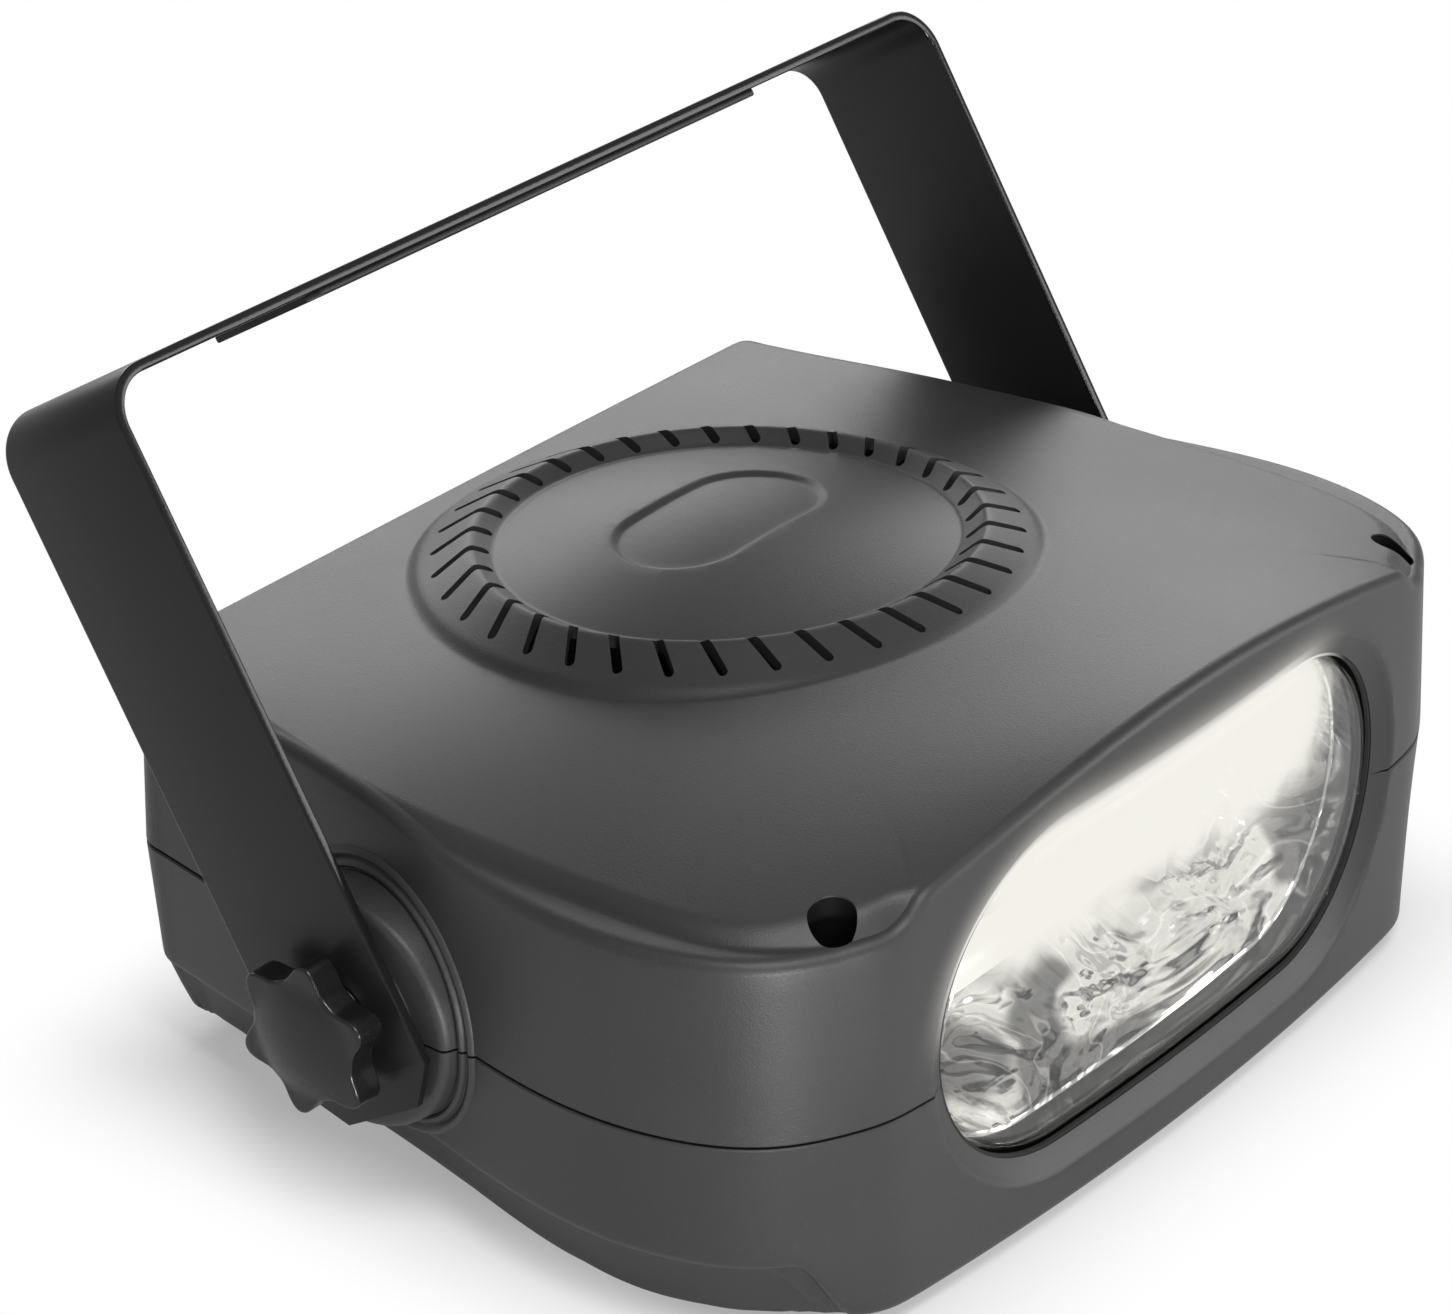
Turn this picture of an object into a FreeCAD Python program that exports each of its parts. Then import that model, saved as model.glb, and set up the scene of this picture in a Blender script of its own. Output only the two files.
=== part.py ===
import FreeCAD, Part
import math
import os
import re
import Sketcher
from FreeCAD import Placement, Rotation, Vector

# Small stage strobe light on a U bracket.
#
# Frame: X across (right is +X), the lens faces -Y, Z up from the plane the rubber feet stand on.
# The moulded housing is two shells that part at the height of the bracket's pivot.  Their side walls
# follow one smooth outline that swells towards the front, and the top is crowned across, more at the
# front than at the rear.  All lengths are in millimetres.

# ----------------------------------------------------------------------------------------------
# Driving dimensions
# ----------------------------------------------------------------------------------------------
SIZES = [
    # housing, in plan
    ("front_reach", 92.35, "middle of the front face, ahead of the origin"),
    ("rear_reach", 78.35, "rear wall, behind the origin"),
    ("front_bow", 667.0, "radius of the bowed front face"),
    ("rear_half", 90.6, "half width where the rear corner starts"),
    ("mid_half", 101.0, "half width abreast of the vent ring"),
    ("belly_half", 110.4, "half width at the widest place"),
    ("cheek_half", 99.9, "half width on the front corner's curve"),
    ("front_half", 81.5, "half width where the side meets the front face"),
    ("belly_back", 49.7, "widest place, behind the front face"),
    ("cheek_back", 16.2, "front corner's middle, behind the front face"),
    ("corner_radius", 8.0, "rear corners"),
    ("wall", 2.5, "moulded wall"),
    ("draft_angle", 2.0, "draft of the side walls, degrees"),
    # housing, in height
    ("foot_height", 3.0, "rubber foot below the housing"),
    ("split_height", 41.8, "parting plane of the shells, which holds the bracket's pivot"),
    ("seam_gap", 0.3, "gap along the parting plane"),
    ("front_top", 92.3, "crown of the top at the front face"),
    ("rear_top", 79.3, "crown of the top at the rear wall"),
    ("crown_rise", 0.0014, "crown across the top at the front, rise over half width squared"),
    ("ledge_height", 76.2, "shoulder ledge along the sides"),
    ("ledge_inset", 5.6, "ledge, from the side wall to the foot of the panel's slope"),
    ("slope_angle", 38.0, "slope from the ledge up to the top panel, degrees from upright"),
    ("panel_front_half", 76.0, "half width where the panel's edge runs out at the front face"),
    ("skirt_height", 16.0, "lower ledge along the sides"),
    ("skirt_inset", 4.0, "lower ledge, from the wall in to the tray"),
    # ventilator ring in the top
    ("ring_back", 103.7, "ring axis, behind the front face"),
    ("ring_height", 86.4, "plane of the ring's slots"),
    ("ring_tilt", 3.8, "slope of the ring towards the rear, degrees"),
    ("ring_base", 58.8, "foot of the ring's outer skirt"),
    ("ridge_radius", 45.5, "ridge"),
    ("ridge_rise", 3.4, "ridge above the slots' outer ends"),
    ("dome_radius", 40.6, "foot of the dome inside the ridge"),
    ("dome_foot", 1.0, "dome's foot above the slots' outer ends"),
    ("dome_rise", 5.9, "middle of the dome above the slots' outer ends"),
    ("slot_outer", 55.0, "outer end of a slot"),
    ("slot_inner", 42.0, "inner end of a slot"),
    ("slot_width", 1.8, "slot"),
    ("slot_count", 36, "slots round the ring"),
    ("oval_half", 23.0, "raised oval on the dome, half length"),
    ("oval_end", 13.0, "raised oval, radius of its ends"),
    ("oval_groove", 1.0, "groove round the oval"),
    # window
    ("window_height", 46.8, "middle of the window"),
    ("window_half", 66.0, "half length of the opening"),
    ("window_end", 30.5, "radius of the opening's round ends"),
    ("bezel_width", 4.5, "sloping bezel round the opening"),
    ("lens_overlap", 3.6, "lens behind the wall, past the opening"),
    ("lens_thick", 1.6, "lens"),
    ("gasket_thick", 0.8, "seal between the wall and the lens"),
    ("seat_gap", 0.15, "clearance between stacked pieces"),
    ("reflector_depth", 38.0, "reflector, from its flange to its back"),
    ("reflector_sheet", 0.8, "reflector"),
    ("tube_radius", 4.0, "flash tube"),
    ("tube_spread", 9.0, "half the distance between the tube's legs"),
    ("tube_back", 30.0, "tube behind the front face"),
    ("tube_reach", 38.0, "centre of the tube's bend, right of the middle"),
    # bracket and its pivots
    ("pivot_back", 98.8, "pivot behind the front face"),
    ("bracket_half", 113.4, "outer face of each arm"),
    ("bracket_sheet", 2.0, "bracket"),
    ("bracket_width", 33.0, "strip"),
    ("bracket_reach", 115.2, "pivot to the crossbar's outer face"),
    ("bracket_bend", 11.0, "outer radius of the bends"),
    ("bracket_tail", 18.4, "arm past the pivot"),
    ("bracket_clip", 7.0, "clipped corners of the arm's end"),
    ("bracket_lean", 31.7, "lean of the bracket at rest, degrees back from upright"),
    ("hanging_hole", 5.25, "radius of the hole in the crossbar's middle"),
    ("side_hole", 3.25, "radius of the two smaller holes in the crossbar"),
    ("side_hole_reach", 30.0, "smaller holes, from the middle"),
    ("strip_half", 62.0, "stiffening strip under the crossbar, half length"),
    ("strip_width", 31.0, "stiffening strip"),
    ("strip_depth", 1.5, "stiffening strip"),
    ("boss_radius", 27.0, "stepped boss round the pivot"),
    ("boss_ring", 20.5, "raised ring of the boss"),
    ("boss_step", 1.6, "step between the boss's rings"),
    ("pad_thick", 1.0, "friction pad"),
    ("pad_radius", 15.0, "friction pad"),
    ("turn_gap", 0.3, "clearance between pieces that turn on each other"),
    ("stud_radius", 3.0, "clamp stud"),
    ("stud_fit", 0.05, "running fit of the stud in its nut"),
    ("washer_radius", 8.0, "clamp washer"),
    ("washer_thick", 1.0, "clamp washer"),
    ("knob_radius", 14.8, "tip of a knob's lobe"),
    ("knob_valley", 11.2, "bottom of the knob's scallops"),
    ("knob_thick", 7.0, "rim of the knob"),
    ("knob_crown", 2.4, "domed face above the knob's rim"),
    ("knob_lobes", 6, "lobes round the knob"),
    # screws, feet, inner pieces and rear fittings
    ("well_half", 88.0, "front screw wells, from the middle"),
    ("well_back", 16.9, "front screw wells, behind the front face"),
    ("well_radius", 3.75, "screw well"),
    ("well_floor", 52.0, "seat of the front screws' heads"),
    ("rear_well_half", 76.0, "rear screw wells, from the middle"),
    ("rear_well_back", 16.0, "rear screw wells, ahead of the rear wall"),
    ("rear_well_top", 27.5, "seat of the rear screws' heads"),
    ("screw_radius", 1.5, "housing screw"),
    ("head_radius", 3.1, "housing screw's head"),
    ("head_height", 2.4, "housing screw's head"),
    ("foot_radius", 7.0, "rubber foot"),
    ("board_length", 120.0, "circuit board"),
    ("board_depth", 72.0, "circuit board"),
    ("board_thick", 1.6, "circuit board"),
    ("board_height", 11.5, "underside of the board"),
    ("board_front", 30.0, "board's front edge, ahead of the origin"),
    ("can_radius", 11.0, "discharge capacitor"),
    ("can_length", 44.0, "discharge capacitor"),
    ("fitting_height", 23.0, "axis of the rear fittings"),
    ("dial_place", -48.0, "speed control, across"),
    ("fuse_place", 12.0, "fuse holder, across"),
    ("gland_place", 56.0, "cord gland, across"),
    ("dial_radius", 9.0, "speed knob"),
    ("dial_height", 10.0, "speed knob"),
    ("gland_bore", 3.6, "cord hole through the gland"),
]
ALIASES = {alias for alias, _, _ in SIZES}

doc = FreeCAD.newDocument("StrobeLight")
sheet = doc.addObject("Spreadsheet::Sheet", "Sizes")
for row, (alias, value, note) in enumerate(SIZES, start=1):
    sheet.set(f"A{row}", note)
    sheet.set(f"B{row}", str(value))
    sheet.setAlias(f"B{row}", alias)
doc.recompute()

NODES = []


# ----------------------------------------------------------------------------------------------
# Helpers
# ----------------------------------------------------------------------------------------------
def size(alias):
    """A driving dimension's number."""
    return float(sheet.get(alias))


def formula(text):
    """An expression with every size's name led by the sheet's."""
    def full(found):
        """A size's name as the sheet's cell, and any other word as it is."""
        return ("Sizes." if found.group() in ALIASES else "") + found.group()

    return re.sub(r"[a-z]\w*", full, str(text))


def number(text):
    """What an expression on sizes comes to."""
    return float(sheet.evalExpression(formula(text)))


def bind(obj, **links):
    """Tie properties of an object to expressions on the sheet."""
    for prop, text in links.items():
        setattr(obj, prop, number(text))
        obj.setExpression(prop, formula(text))


def place(obj, at, turn=Rotation()):
    """Put an object at a point given by three expressions."""
    obj.Placement = Placement(Vector(*[number(text) for text in at]), turn)
    for letter, text in zip("xyz", at):
        obj.setExpression(f"Placement.Base.{letter}", formula(text))


def node(obj, label):
    """Keep an object as a sub-part under its own label."""
    obj.Label = label
    NODES.append(obj)
    return obj


ALONG = {"x": Rotation(Vector(0, 1, 0), 90), "y": Rotation(Vector(1, 0, 0), -90), "z": Rotation()}


def rod(name, radius, length, at, axis="z"):
    """Cylinder that starts at a point and runs along an axis."""
    obj = doc.addObject("Part::Cylinder", name)
    bind(obj, Radius=radius, Height=length)
    place(obj, at, ALONG[axis])
    return obj


def block(name, length, width, height, at):
    """Box from its lowest corner."""
    obj = doc.addObject("Part::Box", name)
    bind(obj, Length=length, Width=width, Height=height)
    place(obj, at)
    return obj


def hexagon(name, across, length, at, axis="z"):
    """Six-sided prism, sized across its flats."""
    obj = doc.addObject("Part::Prism", name)
    obj.Polygon = 6
    bind(obj, Circumradius=f"({across}) / sqrt(3)", Height=length)
    place(obj, at, ALONG[axis])
    return obj


def joined(name, parts):
    """One solid, or a group of them, from several objects."""
    obj = doc.addObject("Part::MultiFuse", name)
    obj.Shapes = parts
    return obj


def less(name, base, tool):
    """A base with a tool taken away."""
    obj = doc.addObject("Part::Cut", name)
    obj.Base = base
    obj.Tool = tool
    return obj


def origin_plane(body, role):
    """One of a body's own origin planes."""
    return next(item for item in body.Origin.OriginFeatures if item.Role == role)


def new_sketch(body, name, role):
    """Empty sketch on one of a body's origin planes."""
    sketch = body.newObject("Sketcher::SketchObject", name)
    sketch.AttachmentSupport = [(origin_plane(body, role), "")]
    sketch.MapMode = "FlatFace"
    return sketch


def fixed_shape(name, shape):
    """Freeform object whose shape is worked out from the sheet."""
    obj = doc.addObject("Part::Feature", name)
    obj.Shape = shape
    return obj


# ----------------------------------------------------------------------------------------------
# Forms of the housing
# ----------------------------------------------------------------------------------------------
FRONT = -size("front_reach")
REAR = size("rear_reach")
SPLIT = size("split_height")
FLOOR = size("foot_height")
PIVOT_Y = FRONT + size("pivot_back")
RING_Y = FRONT + size("ring_back")
DRAFT = math.tan(math.radians(size("draft_angle")))


def front_line(x, inset=0.0):
    """Front face in plan: how far back it lies at a place across."""
    radius = size("front_bow")
    return FRONT + inset + radius - math.sqrt(radius ** 2 - x ** 2)


def side_points(inset, rear_inset=0.0):
    """Right-hand side in plan, from the rear corner to the front face, moved in by an inset."""
    start = REAR - size("corner_radius")
    belly = FRONT + size("belly_back")
    cheek = FRONT + size("cheek_back")
    swell = size("belly_half") - size("mid_half")
    turn = size("belly_half") - size("cheek_half")
    track = [
        Vector(size("rear_half"), start, 0),
        Vector((size("rear_half") + size("mid_half")) / 2, (start + RING_Y) / 2, 0),
        Vector(size("mid_half"), RING_Y, 0),
        Vector(size("mid_half") + 0.72 * swell, (RING_Y + belly) / 2 - 4.0, 0),
        Vector(size("belly_half"), belly, 0),
        Vector(size("belly_half") - 0.26 * turn, (belly + 1.3 * cheek) / 2.3, 0),
        Vector(size("cheek_half"), cheek, 0),
        Vector(size("front_half"), front_line(size("front_half")), 0),
    ]
    curve = Part.BSplineCurve()
    curve.interpolate(track)
    moved = []
    for point in track:
        along = curve.tangent(curve.parameter(point))[0]
        moved.append(point + Vector(along.y, -along.x, 0) * inset)
    moved[0].y = start - rear_inset
    return moved


def spline(points):
    """Smooth curve through points."""
    curve = Part.BSplineCurve()
    curve.interpolate(points)
    return curve.toShape()


def chain(points):
    """Straight edges from point to point."""
    return [Part.LineSegment(a, b).toShape() for a, b in zip(points, points[1:])]


def arc(start, middle, end):
    """Round edge through three points."""
    return Part.Arc(start, middle, end).toShape()


def capsule(straight, radius, at, along, across):
    """Closed outline with round ends: its flat sides run along one direction, both ways from a point."""
    far, high = along * straight, across * radius
    tip = along * (straight + radius)
    return Part.Wire([
        *chain([at - far + high, at + far + high]), arc(at + far + high, at + tip, at + far - high),
        *chain([at + far - high, at - far - high]), arc(at - far - high, at - tip, at - far + high),
    ])


def outline(height, inset, rear_inset=0.0):
    """Outline of the side and rear walls at a height, open-ended past the front face."""
    right = [Vector(p.x, p.y, height) for p in side_points(inset, rear_inset)]
    right.append(right[-1] + Vector(-16, -7, 0))
    left = [Vector(-p.x, p.y, height) for p in reversed(right)]
    nose = FRONT - 20
    radius = size("corner_radius")
    back = right[0].y + radius
    tuck = radius * (1 - math.sqrt(0.5))
    corner = right[0].x - radius
    edges = [spline(right)]
    edges += chain([right[-1], Vector(right[-1].x, nose, height), Vector(left[0].x, nose, height), left[0]])
    edges += [
        spline(left),
        arc(left[-1], Vector(tuck - right[0].x, back - tuck, height), Vector(-corner, back, height)),
        Part.LineSegment(Vector(-corner, back, height), Vector(corner, back, height)).toShape(),
        arc(Vector(corner, back, height), Vector(right[0].x - tuck, back - tuck, height), right[0]),
    ]
    return Part.Wire(edges)


def behind_front(depth):
    """Upright cylinder whose front is the bowed face moved back by a depth."""
    radius = size("front_bow") - depth
    centre = Vector(0, FRONT + size("front_bow"), -10)
    return Part.makeCylinder(radius, 2 * size("front_top"), centre)


def crown(x, y):
    """Height of the top's crowned surface."""
    forward = (REAR - y) / (REAR - FRONT)
    middle = size("rear_top") + (size("front_top") - size("rear_top")) * forward
    return middle - size("crown_rise") * max(forward, 0.0) ** 0.85 * x ** 2


def under_crown(drop):
    """Everything below the crowned top, lowered by a drop."""
    reach = 1.15 * size("belly_half")
    rows = []
    for i in range(9):
        y = FRONT - 8 + i * (REAR - FRONT + 16) / 8
        rows.append([Vector(reach * share, y, crown(reach * share, min(y, REAR)) - drop)
                     for share in (-1, -0.5, 0, 0.5, 1)])
    surface = Part.BSplineSurface()
    surface.interpolate(rows)
    return surface.toShape().extrude(Vector(0, 0, -2 * size("front_top")))


def side_cutters(rings):
    """What lies outside the sides of a tier, lofted between rings of (height, inset, front half width)."""
    far = 1.3 * size("belly_half")
    wires = []
    for height, inset, front_half in rings:
        run = [Vector(p.x, p.y, height) for p in side_points(inset)[:-1]]
        run[0].y = REAR + 6
        run.append(Vector(front_half, FRONT - 8, height))
        edges = [spline(run)]
        edges += chain([run[-1], Vector(far, FRONT - 8, height), Vector(far, REAR + 6, height), run[0]])
        wires.append(Part.Wire(edges))
    right = Part.makeLoft(wires, True, True)
    return [right, right.mirror(Vector(), Vector(1, 0, 0))]


def upper_form(offset):
    """Upper half of the housing as a solid, with every face moved in by an offset."""
    foot = SPLIT + size("seam_gap") / 2 - (1 if offset else 0)
    head = size("front_top") + 3
    lean = (head - SPLIT) * DRAFT
    walls = Part.makeLoft([outline(foot, offset + (foot - SPLIT) * DRAFT, offset),
                           outline(head, offset + lean, offset + lean)], True, True)
    form = walls.common(behind_front(offset)).common(under_crown(offset))
    slope = math.tan(math.radians(size("slope_angle")))
    ledge = size("ledge_height") - offset
    rise = size("front_top") - ledge + 5
    inset = size("ledge_inset") + 0.6 * offset
    nose = size("panel_front_half") - 0.6 * offset
    run = rise * slope
    return form.cut(side_cutters([(ledge, inset, nose), (ledge + rise, inset + run, nose - run)]))


def lower_form(offset):
    """Lower half of the housing as a solid, with every face moved in by an offset."""
    head = SPLIT - size("seam_gap") / 2 + (1 if offset else 0)
    base = FLOOR + offset
    walls = Part.makeLoft([outline(base, offset + (SPLIT - base) * 2 * DRAFT, offset),
                           outline(head, offset + (SPLIT - head) * 2 * DRAFT, offset)], True, True)
    ledge = size("skirt_height") + offset
    inset = size("skirt_inset") + offset + (SPLIT - ledge) * 2 * DRAFT
    nose = size("panel_front_half") - offset
    drop = ledge - base + 2
    cutters = side_cutters([(base - 2, inset + 0.3 * drop, nose - 0.3 * drop), (ledge, inset, nose)])
    return walls.common(behind_front(offset)).cut(cutters)


def stadium(half, end, y):
    """Upright rounded outline round the middle of the window, at a depth."""
    return capsule(half - end, end, Vector(0, y, size("window_height")), Vector(1, 0, 0), Vector(0, 0, 1))


def window_block(half, end, depth=60.0):
    """Prism through the front face with the window's outline."""
    return Part.Face(stadium(half, end, FRONT - 6)).extrude(Vector(0, depth, 0))


def bowed_sheet(half, end, depth, thick):
    """Curved sheet with the window's outline, at a depth behind the front face."""
    sheet_block = window_block(half, end)
    return sheet_block.common(behind_front(depth)).cut(behind_front(depth + thick))


def window_cut():
    """Opening of the window with its sloping bezel."""
    half = size("window_half")
    end = size("window_end")
    width = size("bezel_width")
    bezel = Part.makeLoft([
        stadium(half + 3.0 * width, end + 1.0 * width, FRONT - 1.7),
        stadium(half, end - 0.8 * width, front_line(half, size("wall"))),
    ], True, True)
    return window_block(half, end, 14.0).fuse(bezel)


# ----------------------------------------------------------------------------------------------
# Ventilator ring
# ----------------------------------------------------------------------------------------------
def ring_placement():
    """Frame of the ring: its axis leans with the top."""
    return Placement(Vector(0, RING_Y, size("ring_height")), Rotation(Vector(1, 0, 0), -size("ring_tilt")))


def dome_arc(drop):
    """Half section of the dome, from its foot to its middle."""
    foot = Vector(size("dome_radius") - 0.3 * drop, 0, size("dome_foot") - drop)
    top = Vector(0, 0, size("dome_rise") - drop)
    rise = top.z - foot.z
    radius = (foot.x ** 2 + rise ** 2) / (2 * rise)
    half = foot.x / 2
    middle = Vector(half, 0, top.z - radius + math.sqrt(radius ** 2 - half ** 2))
    return foot, middle, top


def ring_solid():
    """Turned form of the ring and its dome, one wall thick."""
    wall = 2.0
    ridge = size("ridge_radius")
    rise = size("ridge_rise")
    base = size("ring_base")
    slope = rise / (size("slot_outer") - ridge)
    eave = -(base - size("slot_outer")) * slope
    foot, middle, top = dome_arc(0.0)
    low_foot, low_middle, low_top = dome_arc(wall)
    edges = [Part.Arc(top, middle, foot).toShape()]
    corners = [
        foot, Vector(size("slot_inner"), 0, rise - 1.1), Vector(ridge - 0.8, 0, rise - 0.15),
        Vector(ridge + 0.8, 0, rise - 0.2), Vector(base, 0, eave), Vector(base + 0.5, 0, eave - 5.5),
        Vector(base - 1.8, 0, eave - 5.5), Vector(base - 2.2, 0, eave - 1.4),
        Vector(ridge + 0.2, 0, rise - 2.3), Vector(size("slot_inner"), 0, rise - 3.1), low_foot,
    ]
    edges += [Part.LineSegment(a, b).toShape() for a, b in zip(corners, corners[1:])]
    edges += chain([low_foot, low_middle, low_top, top])
    return Part.Face(Part.Wire(edges)).revolve(Vector(), Vector(0, 0, 1), 360)


def slot_tools():
    """One radial slot, repeated round the ring."""
    start = size("slot_inner")
    width = size("slot_width")
    tool = Part.makeBox(size("slot_outer") - start, width, 14, Vector(start, -width / 2, -7))
    count = int(size("slot_count"))
    return [tool.rotated(Vector(), Vector(0, 0, 1), (i + 0.5) * 360 / count) for i in range(count)]


def oval_groove():
    """Groove round the oval on the dome."""
    half = size("oval_half")
    end = size("oval_end")
    width = size("oval_groove")
    foot, middle, top = dome_arc(0.5)
    section = Part.Wire([
        Part.Arc(top, middle, foot).toShape(),
        Part.LineSegment(foot, Vector(0, 0, foot.z)).toShape(),
        Part.LineSegment(Vector(0, 0, foot.z), top).toShape(),
    ])
    keep = Part.Face(section).revolve(Vector(), Vector(0, 0, 1), 360)

    def oval(grow):
        """Solid with the oval's outline, grown all round."""
        plan = capsule(half - end, end + grow, Vector(), Vector(1, 0, 0), Vector(0, 1, 0))
        return Part.Face(plan).extrude(Vector(0, 0, 12))

    return oval(0).cut(oval(-width)).cut(keep).translated(Vector(0, 2, 0))


# ----------------------------------------------------------------------------------------------
# The two shells
# ----------------------------------------------------------------------------------------------
ARM_INNER = size("bracket_half") - size("bracket_sheet")
BOSS_FACE = ARM_INNER - size("turn_gap") - size("pad_thick")
POST_START = BOSS_FACE - 22.0


def drum(radius, start, end, side):
    """Cylinder on the pivot's axis between two distances from the middle."""
    return Part.makeCylinder(radius, end - start, Vector(side * start, PIVOT_Y, SPLIT), Vector(side, 0, 0))


def pillar(x, y, radius, bottom, top):
    """Upright cylinder."""
    return Part.makeCylinder(radius, top - bottom, Vector(x, y, bottom))


def half_space(upper):
    """Large block above or below the parting plane, short of it by half the seam."""
    far = 2 * size("bracket_half")
    gap = size("seam_gap") / 2
    base = SPLIT + gap if upper else SPLIT - gap - far
    return Part.makeBox(2 * far, 2 * far, far, Vector(-far, -far, base))


def boss_solids():
    """Stepped bosses on both side walls."""
    solids = []
    for side in (-1, 1):
        solids.append(drum(size("boss_radius"), BOSS_FACE - 16, BOSS_FACE - size("boss_step"), side))
        solids.append(drum(size("boss_ring"), BOSS_FACE - 14, BOSS_FACE, side))
    return solids


def boss_hollows():
    """Hollows behind the bosses, inside the housing."""
    depth = BOSS_FACE - size("boss_step") - size("wall") - 1.5
    return [drum(size("boss_radius") - size("wall"), POST_START - 6, depth, side) for side in (-1, 1)]


def boss_posts():
    """Posts that hold the captive nuts on the pivot's axis."""
    return [drum(8.6, POST_START, BOSS_FACE - 1, side) for side in (-1, 1)]


def boss_bores():
    """Stud holes and hexagon pockets for the nuts."""
    cuts = []
    for side in (-1, 1):
        cuts.append(drum(size("stud_radius") + 0.4, POST_START - 1, BOSS_FACE + 1, side))
        start = Vector(side * (POST_START - 0.5), PIVOT_Y, SPLIT)
        corner = 10.3 / math.sqrt(3)
        ring = [start + Vector(0, corner * math.cos(math.radians(60 * i + 30)),
                               corner * math.sin(math.radians(60 * i + 30))) for i in range(6)]
        pocket = Part.Face(Part.makePolygon(ring + ring[:1])).extrude(Vector(side * 6.0, 0, 0))
        cuts.append(pocket)
    return cuts


FRONT_WELL = (size("well_half"), FRONT + size("well_back"))
REAR_WELL = (size("rear_well_half"), REAR - size("rear_well_back"))
SEAT = 2.5


def make_upper_shell():
    """Top half: crowned panel, shoulders, ventilator ring, screw wells and posts."""
    outside = upper_form(0.0)
    upper = half_space(True)
    outside = outside.fuse([solid.common(upper) for solid in boss_solids()])
    shell = outside.cut(upper_form(size("wall"))).cut(boss_hollows())
    trim = upper_form(0.8)
    posts = [post.common(upper) for post in boss_posts()]
    for side in (-1, 1):
        x, y = side * FRONT_WELL[0], FRONT_WELL[1]
        tower = pillar(x, y, size("well_radius") + 1.7, size("well_floor") - SEAT, size("front_top") + 5)
        posts.append(tower.common(trim))
        x, y = side * REAR_WELL[0], REAR_WELL[1]
        foot = size("rear_well_top") + SEAT + size("seat_gap")
        posts.append(pillar(x, y, 4.5, foot, foot + 20).fuse(
            pillar(x, y, 4.5, foot + 18, size("front_top") + 5).common(trim)))
    for x in (-30.0, 30.0):
        lug = Part.makeBox(3, 12, 40, Vector(x - 1.5, FLANGE_BACK, FLANGE_TOP - 2.0))
        posts.append(lug.common(trim).cut(behind_flange()))
    shell = shell.fuse(posts)
    cuts = boss_bores() + [window_cut()]
    for side in (-1, 1):
        x, y = side * FRONT_WELL[0], FRONT_WELL[1]
        cuts.append(pillar(x, y, size("well_radius"), size("well_floor"), size("front_top") + 6))
        cuts.append(pillar(x, y, size("screw_radius") + 0.2, SPLIT, size("well_floor") + 1))
        x, y = side * REAR_WELL[0], REAR_WELL[1]
        cuts.append(pillar(x, y, size("screw_radius") - 0.3, SPLIT - 20, SPLIT + 8))
    frame = ring_placement()
    opening = Part.makeCylinder(size("ring_base") - 0.9, 40, Vector(0, 0, -20))
    opening.Placement = frame
    cuts.append(opening)
    shell = shell.cut(cuts)
    ring = ring_solid().cut(slot_tools()).cut(oval_groove())
    ring.Placement = frame
    return shell.fuse(ring)


def make_lower_shell():
    """Bottom half: tray, skirt ledge, screw towers, board posts and the holes of the rear fittings."""
    lower = half_space(False)
    outside = lower_form(0.0).fuse([solid.common(lower) for solid in boss_solids()])
    shell = outside.cut(lower_form(size("wall"))).cut(boss_hollows())
    floor = FLOOR + size("wall") - 0.5
    posts = [post.common(lower) for post in boss_posts()]
    for side in (-1, 1):
        x, y = side * FRONT_WELL[0], FRONT_WELL[1]
        top = size("well_floor") - SEAT - size("seat_gap")
        posts.append(pillar(x, y, 4.5, floor, SPLIT - 3).common(lower_form(0.8)).fuse(
            pillar(x, y, 4.5, SPLIT - 4, top)))
        x, y = side * REAR_WELL[0], REAR_WELL[1]
        posts.append(pillar(x, y, size("well_radius") + 1.7, floor, size("rear_well_top") + SEAT))
    for x, y in board_corners():
        posts.append(pillar(x, y, 3.2, floor, size("board_height")))
    for x in (-30.0, 30.0):
        lug = Part.makeBox(3, 12, FLANGE_BOTTOM + 2.0 - floor, Vector(x - 1.5, FLANGE_BACK, floor))
        posts.append(lug.cut(behind_flange()))
    holder_foot = size("window_height") - HOLDER_HALF - size("seat_gap")
    posts.append(Part.makeBox(8, 10, holder_foot - floor, Vector(-HOLDER_FAR + 1, TUBE_Y - 5, floor)))
    shell = shell.fuse(posts)
    cuts = boss_bores() + [window_cut()]
    for side in (-1, 1):
        x, y = side * FRONT_WELL[0], FRONT_WELL[1]
        cuts.append(pillar(x, y, size("screw_radius") - 0.3, SPLIT - 8, size("well_floor")))
        x, y = side * REAR_WELL[0], REAR_WELL[1]
        cuts.append(pillar(x, y, size("well_radius"), FLOOR - 1, size("rear_well_top")))
        cuts.append(pillar(x, y, size("screw_radius") + 0.2, FLOOR, size("rear_well_top") + SEAT + 1))
    for x, y in board_corners():
        cuts.append(pillar(x, y, size("screw_radius") - 0.3, FLOOR + size("wall"), size("board_height") + 1))
    for place_alias, radius in (("dial_place", 3.65), ("fuse_place", 6.15), ("gland_place", 6.15)):
        start = Vector(size(place_alias), REAR - 6, size("fitting_height"))
        cuts.append(Part.makeCylinder(radius, 10, start, Vector(0, 1, 0)))
    return shell.cut(cuts)


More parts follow.
